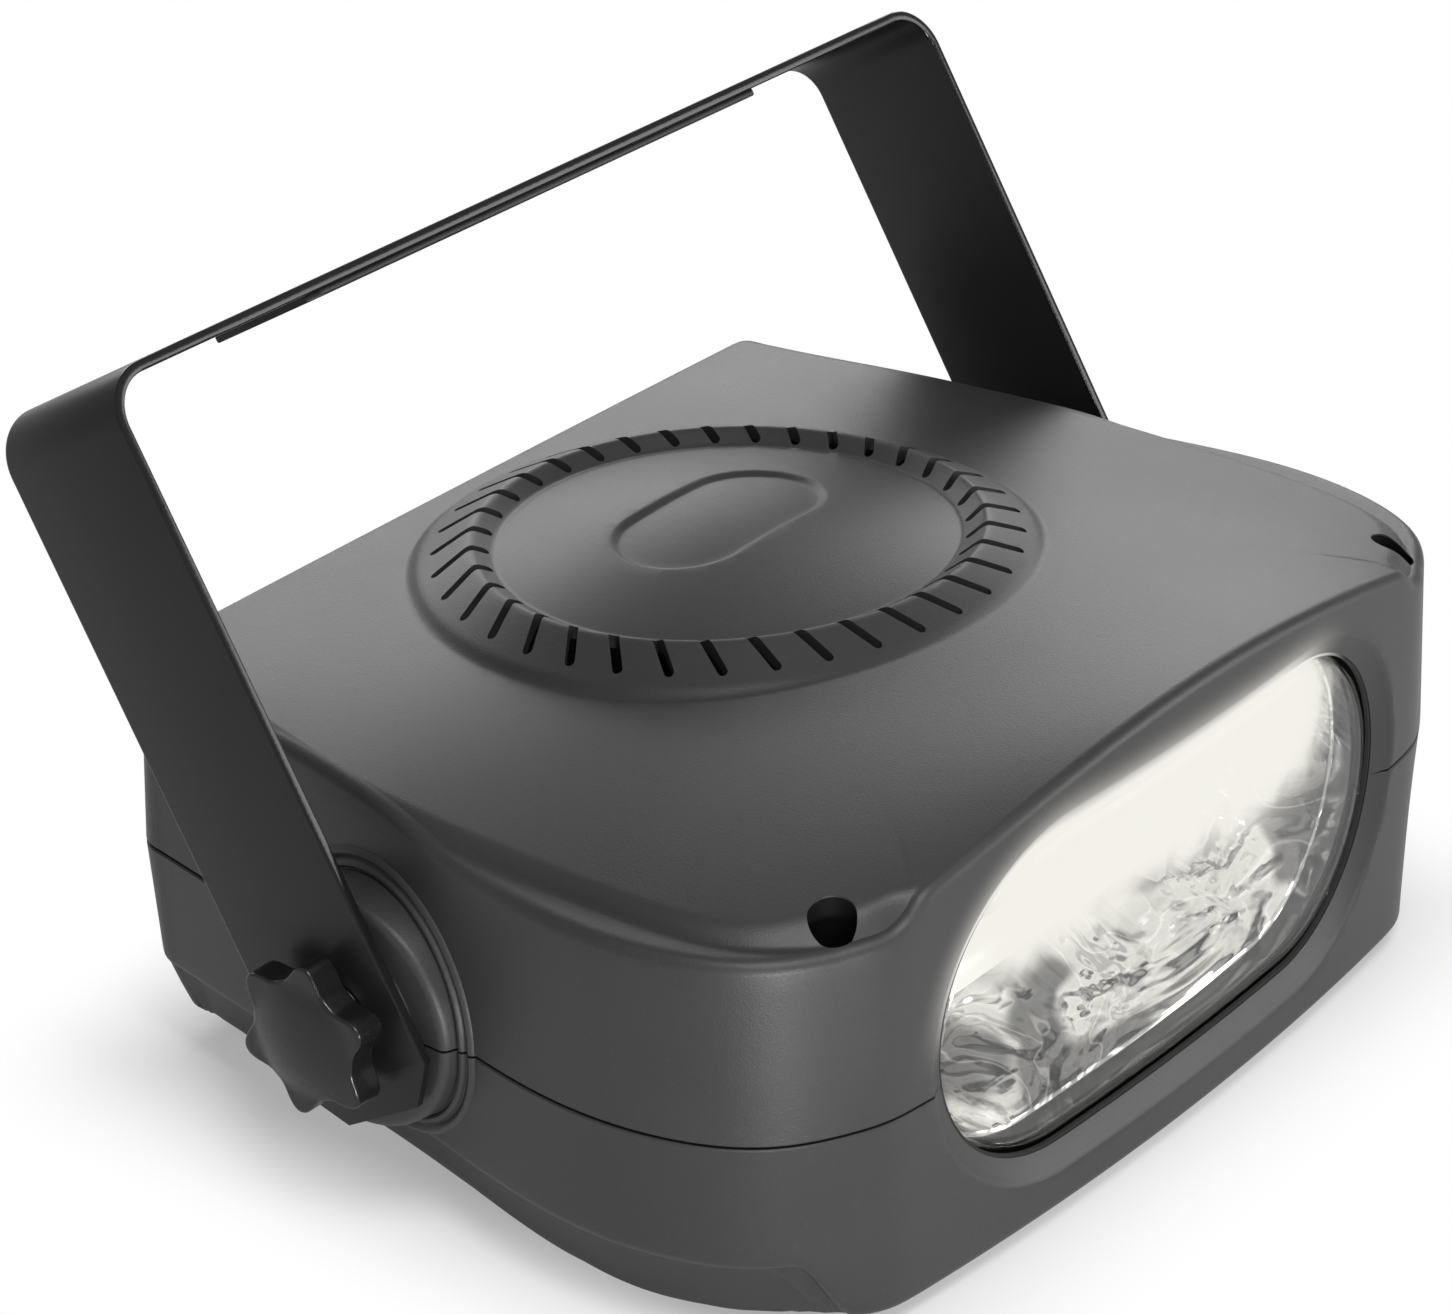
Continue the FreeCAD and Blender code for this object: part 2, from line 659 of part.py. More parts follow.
# ----------------------------------------------------------------------------------------------
# Lamp: seal, lens, reflector and flash tube
# ----------------------------------------------------------------------------------------------
GASKET_DEPTH = size("wall") + size("seat_gap")
LENS_DEPTH = GASKET_DEPTH + size("gasket_thick") + size("seat_gap")
FLANGE_DEPTH = LENS_DEPTH + size("lens_thick") + size("seat_gap")
FLANGE_END = FLANGE_DEPTH + size("reflector_sheet")
FLANGE_BACK = FRONT + FLANGE_END - 1
LENS_HALF = size("window_half") + size("lens_overlap")
LENS_END = size("window_end") + size("lens_overlap")
FLANGE_TOP = size("window_height") + LENS_END
FLANGE_BOTTOM = size("window_height") - LENS_END
TUBE_Y = FRONT + size("tube_back")
HOLDER_HALF = size("tube_spread") + size("tube_radius") + 3.0
HOLDER_FAR = 72.0


def behind_flange():
    """Room kept clear for the reflector's flange and what lies in front of it."""
    block_shape = Part.makeBox(400, 60, 200, Vector(-200, FRONT - 20, -40))
    return block_shape.cut(behind_front(FLANGE_END + size("seat_gap")))


def make_gasket():
    """Seal between the front wall and the lens."""
    ring = bowed_sheet(LENS_HALF, LENS_END, GASKET_DEPTH, size("gasket_thick"))
    inner = window_block(size("window_half") + 0.4, size("window_end") + 0.4)
    return ring.cut(inner)


def make_lens():
    """Clear curved window."""
    return bowed_sheet(LENS_HALF, LENS_END, LENS_DEPTH, size("lens_thick"))


def taper(straight, stations):
    """Solid like the window in outline, whose round ends are cones between (radius, depth) stations."""
    middle = size("window_height")
    solids = []
    for (wide, near), (narrow, far) in zip(stations, stations[1:]):
        for side in (-1, 1):
            solids.append(Part.makeCone(wide, narrow, far - near, Vector(side * straight, near, middle),
                                        Vector(0, 1, 0)))
        corners = [(near, wide), (far, narrow), (far, -narrow), (near, -wide), (near, wide)]
        section = Part.makePolygon([Vector(-straight, y, middle + z) for y, z in corners])
        solids.append(Part.Face(section).extrude(Vector(2 * straight, 0, 0)))
    return solids[0].fuse(solids[1:]).removeSplitter()


def trough(inset):
    """Tapering trough of the reflector, moved in by an inset."""
    mouth = FRONT + 2
    back = FRONT + FLANGE_END + size("reflector_depth")
    end = size("window_end") + 0.6
    straight = size("window_half") - size("window_end")
    shoulder = (end - 2.4 - inset, mouth + 12)
    return taper(straight, [(end - inset, mouth), shoulder, (end - 13 - inset, back - inset)])


def make_reflector():
    """Reflector: trough with a bowed flange that lies behind the lens."""
    keep = behind_front(FLANGE_DEPTH)
    flange = bowed_sheet(LENS_HALF - 0.3, LENS_END - 0.3, FLANGE_DEPTH, size("reflector_sheet"))
    body = trough(0.0).common(keep).fuse(flange)
    body = body.cut(trough(size("reflector_sheet")))
    for sign in (-1, 1):
        leg = Vector(-HOLDER_FAR - 4, TUBE_Y, size("window_height") + sign * size("tube_spread"))
        body = body.cut(Part.makeCylinder(size("tube_radius") + 0.6, 30, leg, Vector(1, 0, 0)))
    return body


def make_tube():
    """Flash tube: two legs and a round bend, closed at its ends."""
    radius = size("tube_radius")
    spread = size("tube_spread")
    middle = size("window_height")
    bend = size("tube_reach")
    tail = -HOLDER_FAR + 3
    upper = Vector(tail, TUBE_Y, middle + spread)
    lower = Vector(tail, TUBE_Y, middle - spread)
    legs = [Part.makeCylinder(radius, bend - tail, start, Vector(1, 0, 0)) for start in (upper, lower)]
    centre = Vector(bend, TUBE_Y, middle)
    curve = Part.makeTorus(spread, radius, centre, Vector(0, 1, 0))
    half = Part.makeBox(2 * spread, 4 * radius, 4 * spread, centre - Vector(0, 2 * radius, 2 * spread))
    return legs[0].fuse([legs[1], curve.common(half)])


def make_holder(left):
    """Ceramic block that carries the tube: the left at its ends, the right near its bend."""
    middle = size("window_height")
    back = FRONT + FLANGE_END + size("reflector_depth") - 2 * size("reflector_sheet")
    if left:
        corner = Vector(-HOLDER_FAR, TUBE_Y - 7, middle - HOLDER_HALF)
        holder = Part.makeBox(9, 14, 2 * HOLDER_HALF, corner)
    else:
        corner = Vector(size("tube_reach") - 12, TUBE_Y - 5, middle - HOLDER_HALF)
        holder = Part.makeBox(3, back - TUBE_Y + 5 - size("seat_gap"), 2 * HOLDER_HALF, corner)
    for sign in (-1, 1):
        start = Vector(corner.x - 1, TUBE_Y, middle + sign * size("tube_spread"))
        holder = holder.cut(Part.makeCylinder(size("tube_radius") + 0.05, 12, start, Vector(1, 0, 0)))
    return holder


# ----------------------------------------------------------------------------------------------
# Electronics on the floor
# ----------------------------------------------------------------------------------------------
BOARD_LEFT = "-board_length / 2 - 5"
BOARD_TOP = "board_height + board_thick"


def board_corners():
    """Places of the board's four screws."""
    left = number(BOARD_LEFT)
    front = -size("board_front")
    length, depth = size("board_length"), size("board_depth")
    return [(left + dx, front + dy) for dx in (5, length - 5) for dy in (5, depth - 5)]


def make_board():
    """Board with its screw holes."""
    plate = block("board_blank", "board_length", "board_depth", "board_thick",
                  (BOARD_LEFT, "-board_front", "board_height"))
    holes = [rod(f"board_hole_{i}", "screw_radius + 0.2", 6, (x, y, "board_height - 2"))
             for i, (x, y) in enumerate(board_corners())]
    return less("circuit_board", plate, joined("board_holes", holes))


def make_board_screws():
    """Pan-head screws that hold the board on its posts."""
    screws = []
    for i, (x, y) in enumerate(board_corners()):
        shank = rod(f"board_shank_{i}", "screw_radius - 0.35", "board_thick + 5", (x, y, "board_height - 5"))
        head = rod(f"board_head_{i}", "screw_radius + 1.3", 1.8, (x, y, BOARD_TOP))
        screws += [shank, head]
    return joined("board_screws", screws)


def make_capacitor(name, sign):
    """Discharge capacitor lying on the board."""
    start = "-can_length - 8" if sign < 0 else "0"
    can = rod(name + "_can", "can_radius", "can_length", (start, "-9", f"{BOARD_TOP} + can_radius"), "x")
    bead = rod(name + "_bead", "can_radius - 1.5", "can_length + 1.6",
               (f"{start} - 0.8", "-9", f"{BOARD_TOP} + can_radius"), "x")
    return joined(name, [can, bead])


def make_transformer():
    """Trigger transformer: wound bobbin between two flanges."""
    at = ("-52", "26", BOARD_TOP)
    top = ("-52", "26", f"{BOARD_TOP} + 14")
    parts = [rod("coil_foot", 7.5, 2, at), rod("coil_winding", 6, 15, at), rod("coil_cap", 7.5, 2, top)]
    return joined("trigger_transformer", parts)


def make_components():
    """Small parts soldered to the board."""
    parts = [
        block("film_capacitor", 14, 7, 11, ("-36", "22", BOARD_TOP)),
        block("triac", 10, 4.5, 15, ("-14", "30", BOARD_TOP)),
        block("triac_cooler", 16, 1.5, 20, ("-17", "34.5", BOARD_TOP)),
        rod("electrolytic", 4, 12, ("10", "30", BOARD_TOP)),
        rod("electrolytic_small", 3, 9, ("21", "30", BOARD_TOP)),
        block("timer_chip", 10, 7, 4, ("30", "26", BOARD_TOP)),
        block("plug_housing", 14, 6, 9, ("34", "10", BOARD_TOP)),
    ]
    return joined("board_components", parts)


# ----------------------------------------------------------------------------------------------
# Screws, feet and the rear fittings
# ----------------------------------------------------------------------------------------------
def make_housing_screws():
    """Two long screws from the top at the front, two from below at the rear."""
    parts = []
    for name, side in (("left", "-"), ("right", "")):
        x = f"{side}well_half"
        y = "-front_reach + well_back"
        parts.append(rod(f"front_shank_{name}", "screw_radius - 0.35", 16, (x, y, "well_floor - 15.5")))
        parts.append(rod(f"front_head_{name}", "head_radius", "head_height", (x, y, "well_floor")))
        x = f"{side}rear_well_half"
        y = "rear_reach - rear_well_back"
        parts.append(rod(f"rear_shank_{name}", "screw_radius - 0.35", 16, (x, y, "rear_well_top - 0.5")))
        parts.append(rod(f"rear_head_{name}", "head_radius", "head_height",
                         (x, y, "rear_well_top - head_height")))
    return joined("housing_screws", parts)


def make_feet():
    """Four rubber feet with a recess for their fixing."""
    feet = []
    for i, (x, y) in enumerate(((-62, -60), (62, -60), (-58, 55), (58, 55))):
        pad = rod(f"foot_pad_{i}", "foot_radius", "foot_height", (x, y, 0))
        recess = rod(f"foot_recess_{i}", "foot_radius - 4", "foot_height - 1.2", (x, y, 0))
        feet.append(less(f"foot_{i}", pad, recess))
    return joined("rubber_feet", feet)


def make_speed_pot():
    """Potentiometer behind the rear wall, with its threaded bushing through it."""
    body = rod("pot_case", 8, 8, ("dial_place", "rear_reach - wall - seat_gap - 8", "fitting_height"), "y")
    bushing = rod("pot_bushing", 3.5, "wall + seat_gap + 4.6",
                  ("dial_place", "rear_reach - wall - seat_gap - 1", "fitting_height"), "y")
    bore = rod("pot_bore", "stud_radius + stud_fit", "20",
               ("dial_place", "rear_reach - wall - seat_gap - 6", "fitting_height"), "y")
    return less("speed_pot", joined("pot_blank", [body, bushing]), bore)


def make_pot_nut():
    """Nut that clamps the potentiometer to the wall."""
    at = ("dial_place", "rear_reach", "fitting_height")
    return less("pot_nut", hexagon("pot_nut_blank", 10, 2, at, "y"), rod("pot_nut_bore", 3.55, 2, at, "y"))


def make_pot_shaft():
    """Shaft that the speed knob turns."""
    start = ("dial_place", "rear_reach - wall - 5", "fitting_height")
    return rod("pot_shaft", "stud_radius", "wall + 14", start, "y")


def make_speed_knob():
    """Round knob with a skirt and a pointer groove."""
    start = "rear_reach + 14 - dial_height"
    skirt = rod("dial_skirt", "dial_radius", 2.5, ("dial_place", start, "fitting_height"), "y")
    grip = rod("dial_grip", "dial_radius - 1.8", "dial_height", ("dial_place", start, "fitting_height"), "y")
    bore = rod("dial_bore", "stud_radius + 0.02", "dial_height - 4 + 3.5",
               ("dial_place", f"{start} - 1", "fitting_height"), "y")
    groove = block("dial_pointer", 1.2, 1.2, "dial_radius",
                   ("dial_place - 0.6", "rear_reach + 14 - 0.6", "fitting_height"))
    return less("speed_knob", joined("dial_blank", [skirt, grip]), joined("dial_cuts", [bore, groove]))


def make_fuse_holder():
    """Panel fuse holder: flange outside, barrel inside."""
    flange = rod("holder_flange", 8.5, 2, ("fuse_place", "rear_reach", "fitting_height"), "y")
    barrel = rod("holder_barrel", 6, "wall + 30",
                 ("fuse_place", "rear_reach - wall - 28", "fitting_height"), "y")
    mouth = rod("holder_mouth", 5.1, "12", ("fuse_place", "rear_reach - 9", "fitting_height"), "y")
    bore = rod("holder_bore", 2.9, "30", ("fuse_place", "rear_reach - 26", "fitting_height"), "y")
    return less("fuse_holder", joined("holder_blank", [flange, barrel]), joined("holder_cuts", [mouth, bore]))


def make_fuse_cap():
    """Bayonet cap with a screwdriver slot."""
    head = rod("cap_head", 7, 5, ("fuse_place", "rear_reach + 2 + turn_gap", "fitting_height"), "y")
    plug = rod("cap_plug", 5.02, "10 + turn_gap", ("fuse_place", "rear_reach - 7.5", "fitting_height"), "y")
    socket = rod("cap_socket", 2.65, "6", ("fuse_place", "rear_reach - 8", "fitting_height"), "y")
    slot = block("cap_slot", 9, 2, 1.2,
                 ("fuse_place - 4.5", "rear_reach + 5.8 + turn_gap", "fitting_height - 0.6"))
    return less("fuse_cap", joined("cap_blank", [head, plug]), joined("cap_cuts", [socket, slot]))


def make_fuse():
    """Glass fuse held by its cap."""
    return rod("fuse", 2.6, 20, ("fuse_place", "rear_reach - 22.1", "fitting_height"), "y")


def make_gland():
    """Cord gland, open for a cord."""
    start = ("gland_place", "rear_reach", "fitting_height")
    parts = [
        hexagon("gland_hexagon", 16, 5, start, "y"),
        rod("gland_dome", 6.8, 9, start, "y"),
        rod("gland_thread", 6, "wall + 9", ("gland_place", "rear_reach - wall - 8", "fitting_height"), "y"),
    ]
    bore = rod("gland_hole", "gland_bore", "wall + 24",
               ("gland_place", "rear_reach - wall - 10", "fitting_height"), "y")
    return less("cord_gland", joined("gland_blank", parts), bore)


def make_gland_nut():
    """Nut of the gland, inside the rear wall."""
    at = ("gland_place", "rear_reach - wall - 4", "fitting_height")
    blank = hexagon("gland_nut_blank", 17, 4, at, "y")
    return less("gland_nut", blank, rod("gland_nut_bore", 6.05, 4, at, "y"))


# ----------------------------------------------------------------------------------------------
# Bracket, clamp knobs and what lies between them
# ----------------------------------------------------------------------------------------------
def circle(sketch, x, y, radius):
    """Circle with a driven radius."""
    index = sketch.addGeometry(Part.Circle(Vector(x, y, 0), Vector(0, 0, 1), number(radius)))
    constraint = sketch.addConstraint(Sketcher.Constraint("Radius", index, number(radius)))
    sketch.setExpression(f"Constraints[{constraint}]", formula(radius))


def pad(body, sketch, length, symmetric=False, backward=False):
    """Pad of a sketch by a driven length."""
    feature = body.newObject("PartDesign::Pad", sketch.Name + "_pad")
    feature.Profile = sketch
    bind(feature, Length=length)
    feature.Midplane = symmetric
    feature.Reversed = backward
    return feature


def pocket(body, sketch, length, symmetric=False, backward=False):
    """Pocket of a sketch by a driven length."""
    feature = body.newObject("PartDesign::Pocket", sketch.Name + "_pocket")
    feature.Profile = sketch
    bind(feature, Length=length)
    feature.Midplane = symmetric
    feature.Reversed = backward
    return feature


def strip_outline(inset):
    """Lines and arcs of the U, from the left arm's end over the crossbar to the right arm's end."""
    half = size("bracket_half") - inset
    top = size("bracket_reach") - inset
    bend = size("bracket_bend") - inset
    tail = -size("bracket_tail")
    nick = bend * (1 - math.sqrt(0.5))

    def mirrored(side, run):
        """Points of one side, as vectors."""
        return [Vector(side * x, z, 0) for x, z in run]

    geometry = [Part.LineSegment(Vector(bend - half, top, 0), Vector(half - bend, top, 0))]
    for side in (-1, 1):
        foot, start, middle, end = mirrored(
            side, [(half, tail), (half, top - bend), (half - nick, top - nick), (half - bend, top)])
        geometry += [Part.LineSegment(foot, start), Part.Arc(start, middle, end)]
    return geometry


def polygon(corners):
    """Closed run of lines through corners given as pairs, for a sketch."""
    points = [Vector(x, y, 0) for x, y in corners]
    return [Part.LineSegment(a, b) for a, b in zip(points, points[1:] + points[:1])]


def make_bracket():
    """U bracket bent from strip, with clipped ends, pivot holes and hanging holes."""
    body = doc.addObject("PartDesign::Body", "bracket")
    strip = new_sketch(body, "strip", "XZ_Plane")
    half = size("bracket_half")
    inner = half - size("bracket_sheet")
    tail = -size("bracket_tail")
    geometry = strip_outline(0.0) + strip_outline(size("bracket_sheet"))
    for side in (-1, 1):
        geometry.append(Part.LineSegment(Vector(side * half, tail, 0), Vector(side * inner, tail, 0)))
    strip.addGeometry(geometry)
    pad(body, strip, "bracket_width", symmetric=True)

    ends = new_sketch(body, "clipped_ends", "YZ_Plane")
    wide = size("bracket_width") / 2
    clip = size("bracket_clip")
    for side in (-1, 1):
        ends.addGeometry(polygon([(side * (wide + 1), tail - 1), (side * (wide + 1), tail + clip + 1),
                                  (side * (wide - clip - 1), tail - 1)]))
    pocket(body, ends, "4 * bracket_half", symmetric=True)

    pivots = new_sketch(body, "pivot_holes", "YZ_Plane")
    circle(pivots, 0, 0, "stud_radius + turn_gap")
    pocket(body, pivots, "4 * bracket_half", symmetric=True)

    stiffener = new_sketch(body, "stiffener", "XZ_Plane")
    under = size("bracket_reach") - size("bracket_sheet")
    long_half = size("strip_half")
    depth = size("strip_depth")
    stiffener.addGeometry(polygon([
        (-long_half, under + 0.5), (-long_half, under), (depth - long_half, under - depth),
        (long_half - depth, under - depth), (long_half, under), (long_half, under + 0.5)]))
    pad(body, stiffener, "strip_width", symmetric=True)

    hanging = new_sketch(body, "hanging_holes", "XY_Plane")
    circle(hanging, 0, 0, "hanging_hole")
    for side in (-1, 1):
        circle(hanging, side * size("side_hole_reach"), 0, "side_hole")
    body.Tip = pocket(body, hanging, "2 * bracket_reach", backward=True)

    lean = Rotation(Vector(1, 0, 0), -size("bracket_lean"))
    place(body, ("0", "-front_reach + pivot_back", "split_height"), lean)
    return body


def lobed_outline():
    """Star outline: convex tips and concave scallops in turn."""
    tip = size("knob_radius")
    valley = size("knob_valley")
    count = int(size("knob_lobes"))
    step = 360 / count
    shoulder = valley + 0.55 * (tip - valley)

    def polar(radius, degrees):
        angle = math.radians(degrees)
        return Vector(radius * math.cos(angle), radius * math.sin(angle), 0)

    arcs = []
    for i in range(count):
        turn = i * step + 5
        spread = 0.235 * step
        arcs.append(Part.Arc(polar(shoulder, turn - spread), polar(tip, turn),
                             polar(shoulder, turn + spread)))
        arcs.append(Part.Arc(polar(shoulder, turn + spread), polar(valley, turn + step / 2),
                             polar(shoulder, turn + step - spread)))
    return arcs


KNOB_START = size("bracket_half") + 2 * size("turn_gap") + size("washer_thick")


def outward(side):
    """Turn that lays a body's Z axis along the pivot, away from the housing."""
    return Rotation(Vector(0, 1, 0), 90 * side)


def make_knob(name, side):
    """Star clamp knob: hub, lobed rim and a shallow domed face."""
    body = doc.addObject("PartDesign::Body", name)
    hub = new_sketch(body, name + "_hub", "XY_Plane")
    circle(hub, 0, 0, "washer_radius - 0.5")
    pad(body, hub, "knob_thick - 1")
    rim = new_sketch(body, name + "_rim", "XY_Plane")
    rim.AttachmentOffset = Placement(Vector(0, 0, 1.2), Rotation())
    rim.addGeometry(lobed_outline())
    pad(body, rim, "knob_thick - 1.2")
    dome = new_sketch(body, name + "_dome", "XZ_Plane")
    foot = size("knob_valley") - 1.0
    base = size("knob_thick") - 0.5
    crest = size("knob_thick") + size("knob_crown")
    lip = base + 1.0
    radius = (foot ** 2 + (crest - lip) ** 2) / (2 * (crest - lip))
    half = foot / 2
    dome.addGeometry([
        Part.LineSegment(Vector(0, base, 0), Vector(foot, base, 0)),
        Part.LineSegment(Vector(foot, base, 0), Vector(foot, lip, 0)),
        Part.Arc(Vector(foot, lip, 0), Vector(half, crest - radius + math.sqrt(radius ** 2 - half ** 2), 0),
                 Vector(0, crest, 0)),
        Part.LineSegment(Vector(0, crest, 0), Vector(0, base, 0)),
    ])
    turn = body.newObject("PartDesign::Revolution", name + "_face")
    turn.Profile = dome
    turn.ReferenceAxis = (dome, ["V_Axis"])
    turn.Angle = 360
    bore = new_sketch(body, name + "_bore", "XY_Plane")
    circle(bore, 0, 0, "stud_radius + 0.02")
    body.Tip = pocket(body, bore, "knob_thick - 1.5", backward=True)
    sign = "-" if side < 0 else ""
    at = (f"{sign}(bracket_half + 2 * turn_gap + washer_thick)", "-front_reach + pivot_back", "split_height")
    place(body, at, outward(side))
    return body


def on_pivot(name, kind, side, start, length, radius, bore=None):
    """Turned piece on the pivot's axis, from a distance off the middle."""
    sign = "-" if side < 0 else ""
    first = start if side > 0 else f"{start} + {length}"
    at = (f"{sign}({first})", "-front_reach + pivot_back", "split_height")
    shape = kind(name + "_blank", radius, length, at, "x")
    if bore is None:
        return shape
    return less(name, shape, rod(name + "_hole", bore, length, at, "x"))


def make_pivot_pieces():
    """Pads, washers, nuts, studs and knobs of both sides."""
    for name, side in (("left", -1), ("right", 1)):
        pad_start = "bracket_half - bracket_sheet - turn_gap - pad_thick"
        node(on_pivot(f"friction_pad_{name}", rod, side, pad_start, "pad_thick", "pad_radius",
                      "stud_radius + turn_gap"), f"friction_pad_{name}")
        node(on_pivot(f"knob_washer_{name}", rod, side, "bracket_half + turn_gap", "washer_thick",
                      "washer_radius", "stud_radius + turn_gap"), f"knob_washer_{name}")
        nut_start = f"{pad_start} - 22 + 0.3"
        node(on_pivot(f"pivot_nut_{name}", hexagon, side, nut_start, "5", "10",
                      "stud_radius + stud_fit"), f"pivot_nut_{name}")
        stud_start = f"{pad_start} - 22 - 3"
        stud_length = "3 * turn_gap + washer_thick + knob_thick + bracket_sheet + pad_thick + 23.4"
        node(on_pivot(f"knob_stud_{name}", rod, side, stud_start, stud_length, "stud_radius"),
             f"knob_stud_{name}")
        node(make_knob(f"clamp_knob_{name}", side), f"clamp_knob_{name}")


# ----------------------------------------------------------------------------------------------
# Assembly and export
# ----------------------------------------------------------------------------------------------
node(fixed_shape("upper_shell", make_upper_shell()), "upper_shell")
node(fixed_shape("lower_shell", make_lower_shell()), "lower_shell")
node(fixed_shape("lens_gasket", make_gasket()), "lens_gasket")
node(fixed_shape("front_lens", make_lens()), "front_lens")
node(fixed_shape("reflector", make_reflector()), "reflector")
node(fixed_shape("flash_tube", make_tube()), "flash_tube")
node(fixed_shape("tube_holder_left", make_holder(True)), "tube_holder_left")
node(fixed_shape("tube_holder_right", make_holder(False)), "tube_holder_right")
node(make_board(), "circuit_board")
node(make_board_screws(), "board_screws")
node(make_capacitor("discharge_capacitor_left", -1), "discharge_capacitor_left")
node(make_capacitor("discharge_capacitor_right", 1), "discharge_capacitor_right")
node(block("ballast_resistor", 50, 9, 9, ("-30", "8", BOARD_TOP)), "ballast_resistor")
node(make_transformer(), "trigger_transformer")
node(make_components(), "board_components")
node(make_housing_screws(), "housing_screws")
node(make_feet(), "rubber_feet")
node(make_speed_pot(), "speed_pot")
node(make_pot_nut(), "pot_nut")
node(make_pot_shaft(), "pot_shaft")
node(make_speed_knob(), "speed_knob")
node(make_fuse_holder(), "fuse_holder")
node(make_fuse_cap(), "fuse_cap")
node(make_fuse(), "fuse")
node(make_gland(), "cord_gland")
node(make_gland_nut(), "gland_nut")
node(make_bracket(), "bracket")
make_pivot_pieces()

doc.recompute()
for obj in doc.Objects:
    if "Invalid" in obj.State or "Error" in obj.State:
        raise RuntimeError(f"{obj.Name} failed: {obj.State}")
os.makedirs("parts", exist_ok=True)
for obj in NODES:
    if obj.Shape.isNull() or not obj.Shape.isValid():
        raise RuntimeError(f"{obj.Label} has no sound shape")
    box = obj.Shape.BoundBox
    reach = f"{box.XLength:7.2f} x {box.YLength:7.2f} x {box.ZLength:7.2f}"
    print(f"{obj.Label:28s} solids {len(obj.Shape.Solids):2d} volume {obj.Shape.Volume:10.1f} box {reach}")
    obj.Shape.exportStep(f"parts/{obj.Label}.step")
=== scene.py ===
"""Looks of a compact xenon stroboscope: moulded housing, lit lamp window, tilting bracket and clamp knobs.

Lengths in the classes are millimetres in the part's own frame (X right, the lens faces -Y, Z up from
the plane the feet stand on); meshes are written in metres.
"""
from __future__ import annotations

import logging
import math
from dataclasses import dataclass
from enum import Enum
from typing import Sequence

import bmesh
import bpy
import numpy as np
from mathutils import Matrix, Vector


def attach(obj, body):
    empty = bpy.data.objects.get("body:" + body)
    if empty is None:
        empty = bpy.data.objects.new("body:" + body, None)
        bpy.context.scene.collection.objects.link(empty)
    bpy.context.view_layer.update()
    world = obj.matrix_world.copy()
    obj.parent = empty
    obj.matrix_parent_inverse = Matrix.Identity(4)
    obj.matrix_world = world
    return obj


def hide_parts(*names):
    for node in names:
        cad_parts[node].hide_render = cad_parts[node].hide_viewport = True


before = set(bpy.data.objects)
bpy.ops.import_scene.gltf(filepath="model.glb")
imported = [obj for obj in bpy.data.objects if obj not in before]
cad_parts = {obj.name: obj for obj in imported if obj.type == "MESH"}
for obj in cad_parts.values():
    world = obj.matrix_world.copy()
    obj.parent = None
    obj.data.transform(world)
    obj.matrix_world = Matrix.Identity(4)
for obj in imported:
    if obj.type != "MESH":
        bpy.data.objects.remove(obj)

MM = 0.001
FULL_TURN = 2 * math.pi
LOG = logging.getLogger("strobe")
Colour = tuple[float, float, float]
BLACK: Colour = (0.0, 0.0, 0.0)


# ---------------------------------------------------------------------------------------------------
# Shader helpers
# ---------------------------------------------------------------------------------------------------
class Term:
    """A shader socket that adds Math nodes when it is used in an expression."""

    def __init__(self, graph: "Graph", socket: bpy.types.NodeSocket) -> None:
        """Wraps a socket.

        Args:
            graph: the graph that new nodes go into.
            socket: the output socket that carries the value.
        """
        self.graph = graph
        self.socket = socket

    def maths(self, operation: str, *others: "Term | float", flip: bool = False) -> "Term":
        """Adds one Math node.

        Args:
            operation: Blender's name of the operation.
            others: the further operands.
            flip: puts this term second.

        Returns:
            The node's result.
        """
        values = [self, *others]
        if flip:
            values.reverse()
        return self.graph.add("ShaderNodeMath", {"operation": operation}, dict(enumerate(values)))

    def __add__(self, other: "Term | float") -> "Term":
        """Sum."""
        return self.maths("ADD", other)

    __radd__ = __add__

    def __sub__(self, other: "Term | float") -> "Term":
        """Difference."""
        return self.maths("SUBTRACT", other)

    def __rsub__(self, other: "Term | float") -> "Term":
        """Reflected difference."""
        return self.maths("SUBTRACT", other, flip=True)

    def __mul__(self, other: "Term | float") -> "Term":
        """Product."""
        return self.maths("MULTIPLY", other)

    __rmul__ = __mul__

    def __truediv__(self, other: "Term | float") -> "Term":
        """Quotient."""
        return self.maths("DIVIDE", other)

    def __rtruediv__(self, other: "Term | float") -> "Term":
        """Reflected quotient."""
        return self.maths("DIVIDE", other, flip=True)

    def __pow__(self, other: "Term | float") -> "Term":
        """Power."""
        return self.maths("POWER", other)

    def root(self) -> "Term":
        """Square root."""
        return self.maths("SQRT")

    def at_least(self, other: "Term | float") -> "Term":
        """The larger of two values."""
        return self.maths("MAXIMUM", other)

    def at_most(self, other: "Term | float") -> "Term":
        """The smaller of two values."""
        return self.maths("MINIMUM", other)

    def fade(self, start: float, end: float, low: float = 0.0, high: float = 1.0) -> "Term":
        """Smooth step between two values.

        Args:
            start: value that gives low.
            end: value that gives high.
            low: result at the start.
            high: result at the end.

        Returns:
            The stepped value.
        """
        settings = {"interpolation_type": "SMOOTHSTEP"}
        return self.graph.add("ShaderNodeMapRange", settings, {0: self, 1: start, 2: end, 3: low, 4: high})


@dataclass(frozen=True)
class LampGlow:
    """Level line in the window's upper part round which a painted glow of the lit lamp outshines it, weaker at the
    left end.
    """

    left: float = -47.0
    right: float = 35.0
    height: float = 69.0
    weak_end: float = -64.0
    weak_start: float = -48.0
    weakest: float = 0.4
    rim_scale: float = 34.0
    rim_twist: float = 1.6


